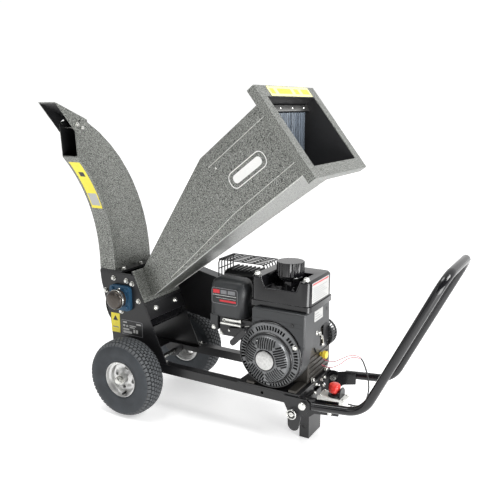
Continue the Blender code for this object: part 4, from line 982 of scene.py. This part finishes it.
def hopper_badge():
    """Plain pale badge on the right side, with no lettering."""
    centre = side_point("right", 1.40, 0.48)
    ahead = (side_point("right", 1.45, 0.50) - side_point("right", 1.30, 0.50)).normalized()
    tilt = math.radians(-1.0)
    flat = Vector((ahead.x, 0.0, ahead.z)).normalized()
    run = Vector((flat.x * math.cos(tilt) - flat.z * math.sin(tilt), ahead.y,
                  flat.x * math.sin(tilt) + flat.z * math.cos(tilt))).normalized()
    normal = Vector((0.0, -1.0, 0.0))
    normal = (normal - run * normal.dot(run)).normalized()
    wide = run.cross(normal)
    if wide.z < 0:
        wide = -wide

    def place(u, v, height):
        return centre + run * u + wide * v + normal * (height + 0.0004)
    outer = rounded(-0.076, 0.076, -0.026, 0.026, 0.022, 8)
    inner = rounded(-0.0735, 0.0735, -0.0235, 0.0235, 0.0195, 8)
    sheet_part("hopper_badge_outline", BADGE, place, outer, 0.0, 0.0004, (inner,))
    sheet_part("hopper_badge_band", BADGE, place, rounded(-0.060, 0.060, -0.0135, 0.0135, 0.0130, 6),
               0.0, 0.0004)


def mouth():
    refine("hopper_mouth_rim", HAMMER, 0.0010)
    refine("hopper_flange", HAMMER, 0.0006)

    on_face = on_slope(MOUTH_TOP, MOUTH_DOWN, MOUTH_OUT)
    decal("mouth_label", LABEL_PALE, on_face, rounded(-0.122, 0.152, 0.002, 0.0362, 0.002))
    spans = ((-0.112, -0.088), (-0.066, 0.020), (0.042, 0.070), (0.092, 0.142))
    for number, (low, high) in enumerate(spans, 1):
        decal(f"mouth_label_bar_{number}", LABEL_YELLOW, on_face,
              rectangle(low, high, 0.010, 0.028), 0.0004)
    strip = rectangle(MOUTH_Y[0] + MOUTH_BORDER + 0.006, MOUTH_Y[1] - MOUTH_BORDER - 0.006,
                      MOUTH_OPEN[0] + 0.004, 0.0630)
    sheet_part("curtain_clamp_strip", STEEL, on_face, strip, -0.0370, -0.0345, (), "body", 0.0006)
    places = [on_face(-0.115 + 0.080 * number, 0.0515, -0.0345) for number in range(4)]
    rivets("clamp_rivet", places, MOUTH_OUT, 0.0042)


def curtain():
    low, high = cad("feed_curtain")
    flaps = 5
    pitch = (high.y - low.y) / flaps
    middle_x = (low.x + high.x) / 2
    for number in range(flaps):
        start = low.y + number * pitch + 0.0006
        stop = start + pitch - 0.0012
        verts = []
        rows, columns = 14, 6
        for face in (0.0, 0.0018):
            for row in range(rows + 1):
                for column in range(columns + 1):
                    across = column / columns
                    fall = row / rows
                    bow = 0.0070 * math.sin(math.pi * across) * (0.4 + fall)
                    drift = 0.0050 * math.sin(2.6 * number + 3.0 * fall) * fall
                    verts.append(Vector((middle_x - 0.0009 + bow * 0.5 + drift * 0.3 + face - 0.0005,
                                         start + (stop - start) * across,
                                         high.z - (high.z - low.z) * fall)))
        width = columns + 1
        layer = (rows + 1) * width
        faces = []
        for row in range(rows):
            for column in range(columns):
                a = row * width + column
                faces.append((a, a + 1, a + 1 + width, a + width))
                faces.append((a + layer, a + width + layer, a + 1 + width + layer, a + 1 + layer))
        edge = list(range(width))
        edge += [row * width + columns for row in range(1, rows + 1)]
        edge += [rows * width + column for column in range(columns - 1, -1, -1)]
        edge += [row * width for row in range(rows - 1, 0, -1)]
        for a, b in zip(edge, edge[1:] + edge[:1]):
            faces.append((a, b, b + layer, a + layer))
        flap = shape(f"curtain_flap_{number + 1}", verts, faces, PVC, "curtain", 40.0)
        if number == 0:
            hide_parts("feed_curtain")


def throat():
    on_face = on_slope(THROAT_POINT, THROAT_DOWN, THROAT_OUT)
    places = [on_face(u, 0.1430, 0.0045) for u in (-0.075, 0.034)]
    bolts("throat_bolt", places, THROAT_OUT, 0.0065)
    places = [on_face(0.067, v, 0.0078) for v in (0.020, 0.090)]
    bolts("hopper_flange_bolt", places, THROAT_OUT, 0.0055)
    outline = rectangle(HOUSING_RIGHT + 0.001, HOUSING_LEFT - 0.001, 0.1185, 0.1235)
    sheet_part("throat_lip", PAINT, on_face, outline, 0.0043, 0.0110, (), "body", 0.0008)


hopper_skin()
hopper_seams()
hopper_hem()
hopper_badge()
mouth()
curtain()
throat()


# ---------------------------------------------------------------- discharge chute

CHUTE_LOW, CHUTE_HIGH = cad("discharge_chute")
HOOD_LOCK_Y = -0.2606
HOOD_LOCK_Z = 0.9658


def chute():
    for node, bevel in (("discharge_chute", 0.0008), ("deflector_hood", 0.0005)):
        box_low, box_high = cad(node)

        def within(points, rear=box_low.x + 0.001, front=box_high.x - 0.001):
            return all(rear < point.x < front for point in points)
        # The chute's inside faces get the black painted shade.
        refine(node, HAMMER, bevel, 22.0, 2, SHADE_BLACK, within)
    refine("hood_pivot_bolt", ZINC, 0.0005)
    low, high = cad("deflector_hood")
    for side, x, sign in (("rear", low.x, -1.0), ("front", high.x, 1.0)):
        hex_bolt(f"hood_lock_bolt_{side}", (x, HOOD_LOCK_Y, HOOD_LOCK_Z), (sign, 0.0, 0.0), 0.0050)


def chute_label():
    """Plain yellow label on the inner curve of the chute."""
    centre_y, centre_z, radius = -0.649, 0.500, 0.532
    steps = 10
    for name, material, low, high, inset, lift in (
            ("chute_label", LABEL_YELLOW, 0.690, 0.850, 0.010, 0.0004),
            ("chute_label_field_1", LABEL_WHITE, 0.700, 0.742, 0.014, 0.0006),
            ("chute_label_field_2", PLASTIC, 0.800, 0.815, 0.022, 0.0006)):
        verts = []
        for depth in (0.0001, lift):
            for index in range(steps + 1):
                z = low + (high - low) * index / steps
                y = centre_y + math.sqrt((radius - depth) ** 2 - (z - centre_z) ** 2)
                verts.append((CHUTE_LOW.x + inset, y, z))
                verts.append((CHUTE_HIGH.x - inset, y, z))
        layer = 2 * (steps + 1)
        faces = []
        for index in range(steps):
            a = 2 * index
            faces.append((a, a + 1, a + 3, a + 2))
            faces.append((a + layer, a + 2 + layer, a + 3 + layer, a + 1 + layer))
            for edge in (0, 1):
                faces.append((a + edge, a + 2 + edge, a + 2 + edge + layer, a + edge + layer))
        for a in (0, 2 * steps):
            faces.append((a, a + 1, a + 1 + layer, a + layer))
        shape(name, verts, faces, material)


chute()
chute_label()


# ---------------------------------------------------------------- belt drive

CRANK_LOW, CRANK_HIGH = cad("crankshaft")
CRANK = Vector(((CRANK_LOW.x + CRANK_HIGH.x) / 2, 0.0, (CRANK_LOW.z + CRANK_HIGH.z) / 2))
GUARD_BOLTS = ((-0.061, 0.450), (-0.061, 0.318), (0.505, 0.330), (0.505, 0.220))


def belt_drive():
    refine("belt_guard_cover", SATIN, 0.0022, segments=3)
    refine("belt_guard_back_plate", PAINT, 0.0005)
    for node in ("rotor_pulley", "clutch_pulley"):
        refine(node, STEEL, 0.0008)
    repaint("drive_belt", PLASTIC)
    outside = cad("belt_guard_cover")[1].y
    slope = (CRANK.z - ROTOR.z) / (CRANK.x - ROTOR.x)
    for number in range(6):
        x = 0.12 + 0.05 * number
        z = ROTOR.z + slope * (x - ROTOR.x)
        # Vents: flat plates of painted shade.
        plate(f"guard_vent_{number + 1}", SHADE_BLACK, "Y",
              rounded(x - 0.004, x + 0.004, z - 0.03, z + 0.03, 0.0038), outside - 0.001, outside - 0.0001)
    places = [(x, outside - 0.0008, z) for x, z in GUARD_BOLTS]
    bolts("guard_bolt", places, (0, 1, 0), 0.0045, washer=False)


belt_drive()


# ---------------------------------------------------------------- engine

SHROUD_FRONT = cad("blower_shroud")[0].y


def castings():
    for node in ("crankcase", "cylinder", "carburettor"):
        refine(node, CASTING, 0.0010)
    refine("crankshaft", STEEL)
    front = cad("crankcase")[1].x
    for number in range(5):
        z = 0.196 + 0.016 * number
        block(f"crankcase_rib_{number + 1}", CASTING, (front - 0.002, front + 0.0026),
              (-0.040, 0.100), (z, z + 0.004), bevel=0.0008)
    bolts("oil_drain", [(front, y, 0.187) for y in (-0.020, 0.085)], (1, 0, 0), 0.0060)
    for end, x in zip(("rear", "front"), ENGINE_FOOT_X):
        for side, sign in SIDES:
            span = sorted((sign * ENGINE_FOOT_Y * 0.42, sign * ENGINE_FOOT_Y * 1.13))
            block(f"engine_foot_{end}_{side}", CASTING, (x - 0.014, x + 0.014), span,
                  (0.1771, 0.1858), bevel=0.002)


def shroud():
    """Fan housing: a satin duct over a glossy round part with a ring of slots; the slotted face is mid
    grey, a painted highlight on its ribs.
    """
    front = SHROUD_FRONT
    cover = refine("blower_shroud", SATIN, 0.0016, segments=3)
    round_x, round_z, radius = 0.510, 0.287, 0.1050
    slot_centre = (CRANK + Vector((round_x, 0.0, round_z))) / 2
    outline = circle(round_x, round_z, radius, 72)
    eye = circle(CRANK.x, CRANK.z, 0.0768, 48)
    face = plate("shroud_face", RIB_HIGHLIGHT, "Y", outline, front - 0.0030, front - 0.0001, (eye,))
    angles = [degrees for degrees in range(-92, 268, 6) if (degrees + 92) % 72 > 4]
    ring = [(degrees, 0.0, 0.0828, 0.0970) for degrees in angles]
    for name, piece in (("shroud_slots", cover), ("face_slots", face)):
        carve(piece, [slot_boxes(name, slot_centre, ring, 0.0062, front - 0.010, front + 0.006)])
    rim = [(radius - 0.0045, front - 0.0028), (radius - 0.0040, front - 0.0052),
           (radius - 0.0010, front - 0.0052), (radius, front - 0.0040), (radius, front + 0.012),
           (radius - 0.0045, front + 0.012)]
    revolve("shroud_rim", SHEEN_BLACK, (round_x, 0.0, round_z), (0, 1, 0), rim, 72)
    collar = [(0.0762, front - 0.0005), (0.0762, front - 0.0060), (0.0772, front - 0.0072),
              (0.0795, front - 0.0072), (0.0806, front - 0.0058), (0.0806, front - 0.0005)]
    revolve("shroud_collar", SHEEN_BLACK, CRANK, (0, 1, 0), collar, 72)
    high = cad("blower_shroud")[1]
    duct = [(0.4495, high.z - 0.001), (0.4495, 0.380)]
    duct += arc(round_x, round_z, radius + 0.004, 120, 26, 14)
    duct += [(high.x - 0.0005, 0.330), (high.x - 0.0005, high.z - 0.001)]
    plate("shroud_duct", SATIN, "Y", duct, front - 0.0060, front - 0.0002, bevel=0.0022)
    for number in range(2):
        z = 0.398 - 0.012 * number
        # Duct lines: thin strips of painted shade.
        plate(f"duct_line_{number + 1}", SHADE_BLACK, "Y", rectangle(0.456, 0.617, z, z + 0.0012),
              front - 0.0062, front - 0.0058)
    turn = math.radians(24)
    hex_bolt("shroud_bolt", (round_x + 0.0915 * math.cos(turn), front - 0.0030,
                             round_z + 0.0915 * math.sin(turn)), (0, -1, 0), 0.0055)
    hex_bolt("duct_screw", (0.585, front - 0.0058, 0.392), (0, -1, 0), 0.0035, PLASTIC)


def sector_slots(inner, outer, pitch):
    """Slots of the recoil cover: five sectors, with parallel slots inside each one."""
    sectors = 5
    half = math.pi / sectors
    slots = []
    for sector in range(sectors):
        for number in range(-4, 5):
            aside = number * pitch
            start = abs(aside) / math.tan(half) + 0.0050
            if abs(aside) < inner:
                start = max(start, math.sqrt(inner ** 2 - aside ** 2))
            stop = math.sqrt(outer ** 2 - aside ** 2) - 0.0010
            if stop - start > 0.006:
                slots.append((90.0 + 360.0 * sector / sectors, aside, start, stop))
    return slots


def recoil():
    front = SHROUD_FRONT - 0.0003
    cover_low, cover_high = cad("recoil_cover")
    radius = (cover_high.z - cover_low.z) / 2 - 0.0003
    wall = 0.0026
    outer = [(0.0, 0.0272), (0.42, 0.0272), (0.50, 0.0279), (0.64, 0.0278), (0.77, 0.0258),
             (0.88, 0.0215), (0.95, 0.0155), (0.985, 0.0085), (1.0, 0.0)]
    outer = [(share * radius, height) for share, height in outer]
    inner = [(max(r - wall, 0.0), max(height - wall, 0.0)) for r, height in reversed(outer)]
    centre = (CRANK.x, front, CRANK.z)
    # The cover's mid grey is a painted highlight on the ribs between the slots.
    cover = revolve("recoil_cover_skin", RIB_HIGHLIGHT, centre, (0, -1, 0), outer + inner, 96)
    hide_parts("recoil_cover")
    slots = slot_boxes("cover_slots", CRANK, sector_slots(0.0370, 0.0708, 0.0074), 0.0052,
                       front - 0.045, front - 0.004)
    carve(cover, [slots])
    # Recoil core in black painted shade, deep under the slots.
    revolve("recoil_core", SHADE_BLACK, centre, (0, -1, 0),
            [(0.0, 0.012), (0.052, 0.012), (0.062, 0.006), (0.062, 0.002), (0.0, 0.002)], 48)
    revolve("recoil_disc_seat", SHEEN_BLACK, centre, (0, -1, 0),
            [(0.0, 0.0284), (0.0330, 0.0284), (0.0345, 0.0275), (0.0, 0.0270)], 64)
    revolve("recoil_disc", STEEL, centre, (0, -1, 0),
            [(0.0, 0.0293), (0.0275, 0.0293), (0.0295, 0.0285), (0.0, 0.0283)], 64)
    refine("starter_grip", PLASTIC, 0.0006)


LABEL_FACE = 0.6265


def fuel():
    refine("fuel_tank", SHEEN_BLACK, 0.0022, segments=3)
    refine("fuel_cap", SHEEN_BLACK, 0.0009)
    low, high = cad("fuel_tank")
    lip_y = low.y + 0.0032
    cap_low, cap_high = cad("fuel_cap")
    middle = (cap_low + cap_high) / 2
    radius = (cap_high.x - cap_low.x) / 2
    revolve("fuel_cap_top", PLASTIC, (middle.x, middle.y, cap_high.z - 0.0035), (0, 0, 1),
            [(0.0, 0.0032), (radius - 0.011, 0.0032), (radius - 0.007, 0.0020), (radius - 0.005, 0.0),
             (0.0, 0.0)], 48, "cap")
    revolve("filler_collar", SHEEN_BLACK, (middle.x, middle.y, cap_low.z - 0.0008), (0, 0, -1),
            [(0.0, 0.0), (radius - 0.006, 0.0), (radius - 0.004, 0.004), (0.030, 0.016), (0.0, 0.016)], 40)
    bolts("tank_bolt", [(0.447, -0.083, high.z), (0.610, -0.083, high.z)], (0, 0, 1), 0.0075)
    lip = ((0.464, high.z - 0.001), (0.4785, 0.4878), (0.4815, 0.4862), (0.5815, 0.4862),
           (0.5845, 0.4878), (0.598, high.z - 0.001))
    wire("tank_lip", [(x, lip_y, z) for x, z in lip], 0.0022, SHEEN_BLACK)
    on_right = on_x(LABEL_FACE)
    decal("tank_label", LABEL_WHITE, on_right, rounded(-0.080, 0.044, 0.452, 0.514, 0.002), 0.0006)
    decal("tank_label_band", LABEL_RED, on_right, rectangle(-0.076, 0.040, 0.5070, 0.5110), 0.0008)
    for number in range(7):
        z = 0.458 + 0.0062 * number
        decal(f"tank_label_line_{number + 1}", LABEL_GREY, on_right,
              rectangle(-0.072, 0.030 - 0.014 * (number % 3), z, z + 0.0012), 0.0008)


def loft(name, material, rings, body="body", bevel=0.0, smooth=50.0):
    """A closed skin through rings of points, all with as many points."""
    count = len(rings[0])
    verts = [point for ring in rings for point in ring]
    faces = [tuple(range(count)), tuple(range(len(verts) - count, len(verts)))]
    for row in range(len(rings) - 1):
        for index in range(count):
            after = (index + 1) % count
            start = row * count
            faces.append((start + index, start + after, start + count + after, start + count + index))
    return shape(name, verts, faces, material, body, smooth, bevel)


def air_cleaner():
    low, high = cad("air_cleaner_cover")
    rings = []
    for z, inset in ((0.3685, 0.010), (0.3720, 0.003), (0.3770, 0.0), (0.4500, 0.0005), (0.4680, 0.003),
                     (0.4790, 0.007), (0.4860, 0.014), (0.4895, 0.024), (0.4905, 0.034)):
        radius = max(0.036 - inset, 0.004)
        ring = rounded(low.x + inset, high.x - inset, low.y + inset, high.y - inset * 0.5, radius, 8)
        rings.append([Vector((x, y, z)) for x, y in ring])
    cover = loft("air_cleaner_skin", SATIN, rings)
    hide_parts("air_cleaner_cover")
    foot = [(0.2735, 0.372), (0.2765, 0.326), (0.286, 0.318), (0.303, 0.318), (0.303, 0.372)]
    plate("air_cleaner_foot", SATIN, "Y", foot, low.y + 0.012, high.y - 0.010, bevel=0.004)
    block("air_cleaner_base", PLASTIC, (0.290, 0.408), (-0.0740, high.y - 0.008), (0.3600, 0.3690),
          bevel=0.002)
    on_front = on_y(low.y)
    decal("cleaner_badge", LABEL_GREY, on_front, rounded(0.2905, 0.3850, 0.4130, 0.4650, 0.008), 0.0005)
    decal("cleaner_badge_face", SHEEN_BLACK, on_front, rounded(0.2922, 0.3833, 0.4147, 0.4633, 0.007),
          0.0007)
    for number, (material, left, right, bottom, top) in enumerate((
            (LABEL_RED, 0.2960, 0.3200, 0.4470, 0.4590), (LABEL_GREY, 0.3240, 0.3460, 0.4470, 0.4590),
            (LABEL_GREY, 0.3500, 0.3760, 0.4470, 0.4590), (LABEL_WHITE, 0.2950, 0.3800, 0.4405, 0.4425),
            (LABEL_RED, 0.3200, 0.3790, 0.4210, 0.4275), (LABEL_WHITE, 0.3060, 0.3790, 0.4320, 0.4332)), 1):
        decal(f"cleaner_badge_bar_{number}", material, on_front, rectangle(left, right, bottom, top),
              0.0009)
    hex_bolt("cleaner_screw", (0.2890, low.y + 0.012, 0.3280), (0, -1, 0), 0.0050)


CONTROL_FACE = -0.0785


def controls():
    refine("choke_lever", ZINC, 0.0005)
    refine("throttle_lever", PLASTIC, 0.0005)
    outline = [(0.306, 0.302), (0.396, 0.302), (0.440, 0.330), (0.440, 0.364), (0.306, 0.364)]
    plate("control_plate", PAINT, "Y", outline, CONTROL_FACE, -0.0757, bevel=0.0006)
    rivets("control_pivot", [(0.325, -0.0830, 0.354), (0.345, -0.0870, 0.325)], (0, -1, 0), 0.0045)
    spring = []
    for index in range(90):
        angle = index * 0.75
        spring.append((0.372 + 0.00045 * index, -0.0905 + 0.0022 * math.cos(angle),
                       0.3150 + 0.0022 * math.sin(angle)))
    wire("governor_spring", spring, 0.0005, ZINC, sides=2)
    block("choke_rod", ZINC, (0.316, 0.392), (-0.0930, -0.0890), (0.3440, 0.3505), bevel=0.0012)
    wire("throttle_rod", [(0.400, -0.0800, 0.3450), (0.428, -0.0810, 0.3520), (0.436, -0.0800, 0.3620)],
         0.0012, ZINC)
    places = [(x, CONTROL_FACE, z) for x, z in ((0.312, 0.309), (0.432, 0.356), (0.388, 0.309))]
    bolts("control_bolt", places, (0, -1, 0), 0.0042)


def muffler():
    refine("muffler", PAINT, 0.0015)
    low, high = cad("muffler_guard")
    top = high.z - 0.008
    corners = rectangle(low.x + 0.004, high.x - 0.004, low.y + 0.004, high.y - 0.004)
    cage = wire("muffler_guard_rail_1", [(x, y, top) for x, y in corners], 0.0022, PAINT, closed=True)
    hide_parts("muffler_guard")
    rows = 5
    for number in range(rows + 1):
        y = low.y + 0.004 + (high.y - low.y - 0.008) * number / rows
        x_low, x_high = low.x + 0.0022, high.x - 0.0022
        path = [(x_low, y, low.z + 0.002), (x_low, y, top - 0.012), (x_low + 0.003, y, top - 0.004),
                (x_low + 0.010, y, top), (x_high - 0.010, y, top), (x_high - 0.003, y, top - 0.004),
                (x_high, y, top - 0.012), (x_high, y, low.z + 0.002)]
        wire(f"muffler_guard_hoop_{number + 1}", path, 0.0021, PAINT)
    bands = [(x, z) for x in (low.x + 0.002, high.x - 0.002) for z in (0.455, 0.490)]
    for number, (x, z) in enumerate(bands, 1):
        wire(f"muffler_guard_band_{number}", [(x, low.y + 0.002, z), (x, high.y - 0.002, z)],
             0.0019, PAINT)
    for number in range(3):
        x = low.x + 0.045 + 0.045 * number
        ends = [(x, y, top + 0.0002) for y in (low.y + 0.003, high.y - 0.003)]
        wire(f"muffler_guard_bar_{number + 1}", ends, 0.0020, PAINT)
    for number in range(8):
        x = low.x + 0.032 + 0.016 * number
        block(f"muffler_louvre_{number + 1}", PAINT, (x, x + 0.006), (0.040, 0.106), (0.4875, 0.4925),
              bevel=0.001)


def engine_side():
    refine("engine_side_cover", SATIN, 0.0008)
    refine("oil_filler_cap", YELLOW, 0.0012)
    high = cad("engine_side_cover")[1]
    on_right = on_x(high.x)
    decal("side_cover_label", LABEL_WHITE, on_right, rounded(-0.022, 0.042, 0.376, 0.410, 0.002), 0.0005)
    for number in range(3):
        z = 0.383 + 0.008 * number
        decal(f"side_cover_text_{number + 1}", LABEL_GREY, on_right,
              rectangle(-0.016, 0.034 - 0.012 * number, z, z + 0.0016), 0.0007)
    # Hole and groove line: flat decals of painted shade.
    decal("side_cover_hole", SHADE_BLACK, on_right, circle(0.0735, 0.3948, 0.0065, 20), 0.0004)
    decal("side_cover_line", SHADE_BLACK, on_right, rectangle(-0.050, 0.088, 0.4215, 0.4235), 0.0004)
    centre = Vector((0.583, 0.0, 0.302))
    for number in range(11):
        out, run = spoke(math.radians(-52 + 13 * number))

        def place(u, v, height, out=out, run=run):
            return centre + out * u + Vector((0.0, v, 0.0)) + run * height
        sheet_part(f"fan_rib_{number + 1}", SATIN, place, rounded(0.030, 0.0465, 0.088, 0.122, 0.004),
                   -0.0016, 0.0016)
    ring = arc(centre.x, centre.z, 0.043, -66, 87, 17)
    for name, y in (("fan_rib_ring", 0.090), ("fan_rib_ring_far", 0.120)):
        wire(name, [(x, y, z) for x, z in ring], 0.0035, SATIN)
    pocket = rounded(0.050, 0.086, 0.284, 0.350, 0.014)
    # Fan pocket: a flat decal of painted shade.
    decal("fan_pocket", SHADE_BLACK, on_right, pocket, 0.0006)
    wire("governor_arm", [(high.x + 0.002, 0.004, 0.338), (high.x + 0.003, 0.024, 0.322),
                          (high.x + 0.002, 0.042, 0.306), (high.x + 0.001, 0.050, 0.282)], 0.0026, ZINC)
    rivets("governor_nut", [(high.x, 0.002, 0.335), (high.x, 0.042, 0.309), (high.x, 0.026, 0.326),
                            (high.x, 0.0515, 0.283)], (1, 0, 0), 0.0075)


castings()
shroud()
recoil()
fuel()
air_cleaner()
controls()
muffler()
engine_side()


# ---------------------------------------------------------------- handle and switch

PIN_RING = 0.0145


def handle():
    refine("tow_handle", SHEEN_BLACK, 0.0005, 50.0)
    for side in ("right", "left"):
        refine(f"handle_bracket_{side}", PAINT, 0.0006)
        refine(f"handle_pivot_bolt_{side}", ZINC, 0.0008)
    refine("handle_lock_pin", ZINC, 0.0006)
    low, high = cad("handle_lock_pin")
    pin = (low + high) / 2
    ring_y = low.y + 0.0012
    ring = [(x, ring_y, z) for x, z in circle(pin.x, pin.z, PIN_RING, 36)]
    wire("lock_pin_ring", ring, 0.0019, ZINC, "lock_pin", closed=True)
    wire("lock_pin_eye", [(pin.x - PIN_RING, ring_y, pin.z), (pin.x + PIN_RING, ring_y, pin.z)],
         0.0016, ZINC, "lock_pin")
    bolts("bracket_bolt", [(0.708, -0.1201, 0.143)], (0, -1, 0), 0.0052, body="handle")


COLLAR_MIDDLE = 0.0205


def switch():
    """Stop switch; the collar's middle lies 2.2 mm ahead of the button's own."""
    refine("stop_switch_box", WHITE, 0.0008)
    refine("stop_button", RED, 0.0016, 50.0, 3)
    low, high = cad("stop_switch_box")
    middle = (low + high) / 2
    button_low, button_high = cad("stop_button")
    place = (button_low.x + COLLAR_MIDDLE, middle.y, high.z - 0.0068)
    revolve("switch_collar", PLASTIC, place, (0, 0, 1),
            [(0.0090, 0.0), (0.0217, 0.0), (0.0217, 0.0050), (0.0205, 0.0070), (0.0090, 0.0070)], 40)
    guard_x = button_high.x + 0.004
    guard = [(-0.022, 0.0)] + arc(0.0, 0.010, 0.022, 180, 0, 12) + [(0.022, 0.0)]
    guard = [(middle.y + a, high.z - 0.008 + b) for a, b in guard]
    plate("switch_guard", PLASTIC, "X", guard, guard_x, guard_x + 0.0035, bevel=0.0008)
    bolts("shelf_bolt", [(low.x - 0.008, y, high.z - 0.004) for y in (-0.050, 0.012)], (0, 0, 1), 0.0045)
    bolts("shelf_nut", [(low.x - 0.014, y, 0.178) for y in (-0.030, 0.010, 0.034)], (0, 0, 1), 0.0050)
    bolts("switch_screw", [(x, y, high.z - 0.0069) for x in (low.x + 0.010, high.x - 0.010)
                           for y in (low.y + 0.009, high.y - 0.009)], (0, 0, 1), 0.0032, washer=False)


handle()
switch()
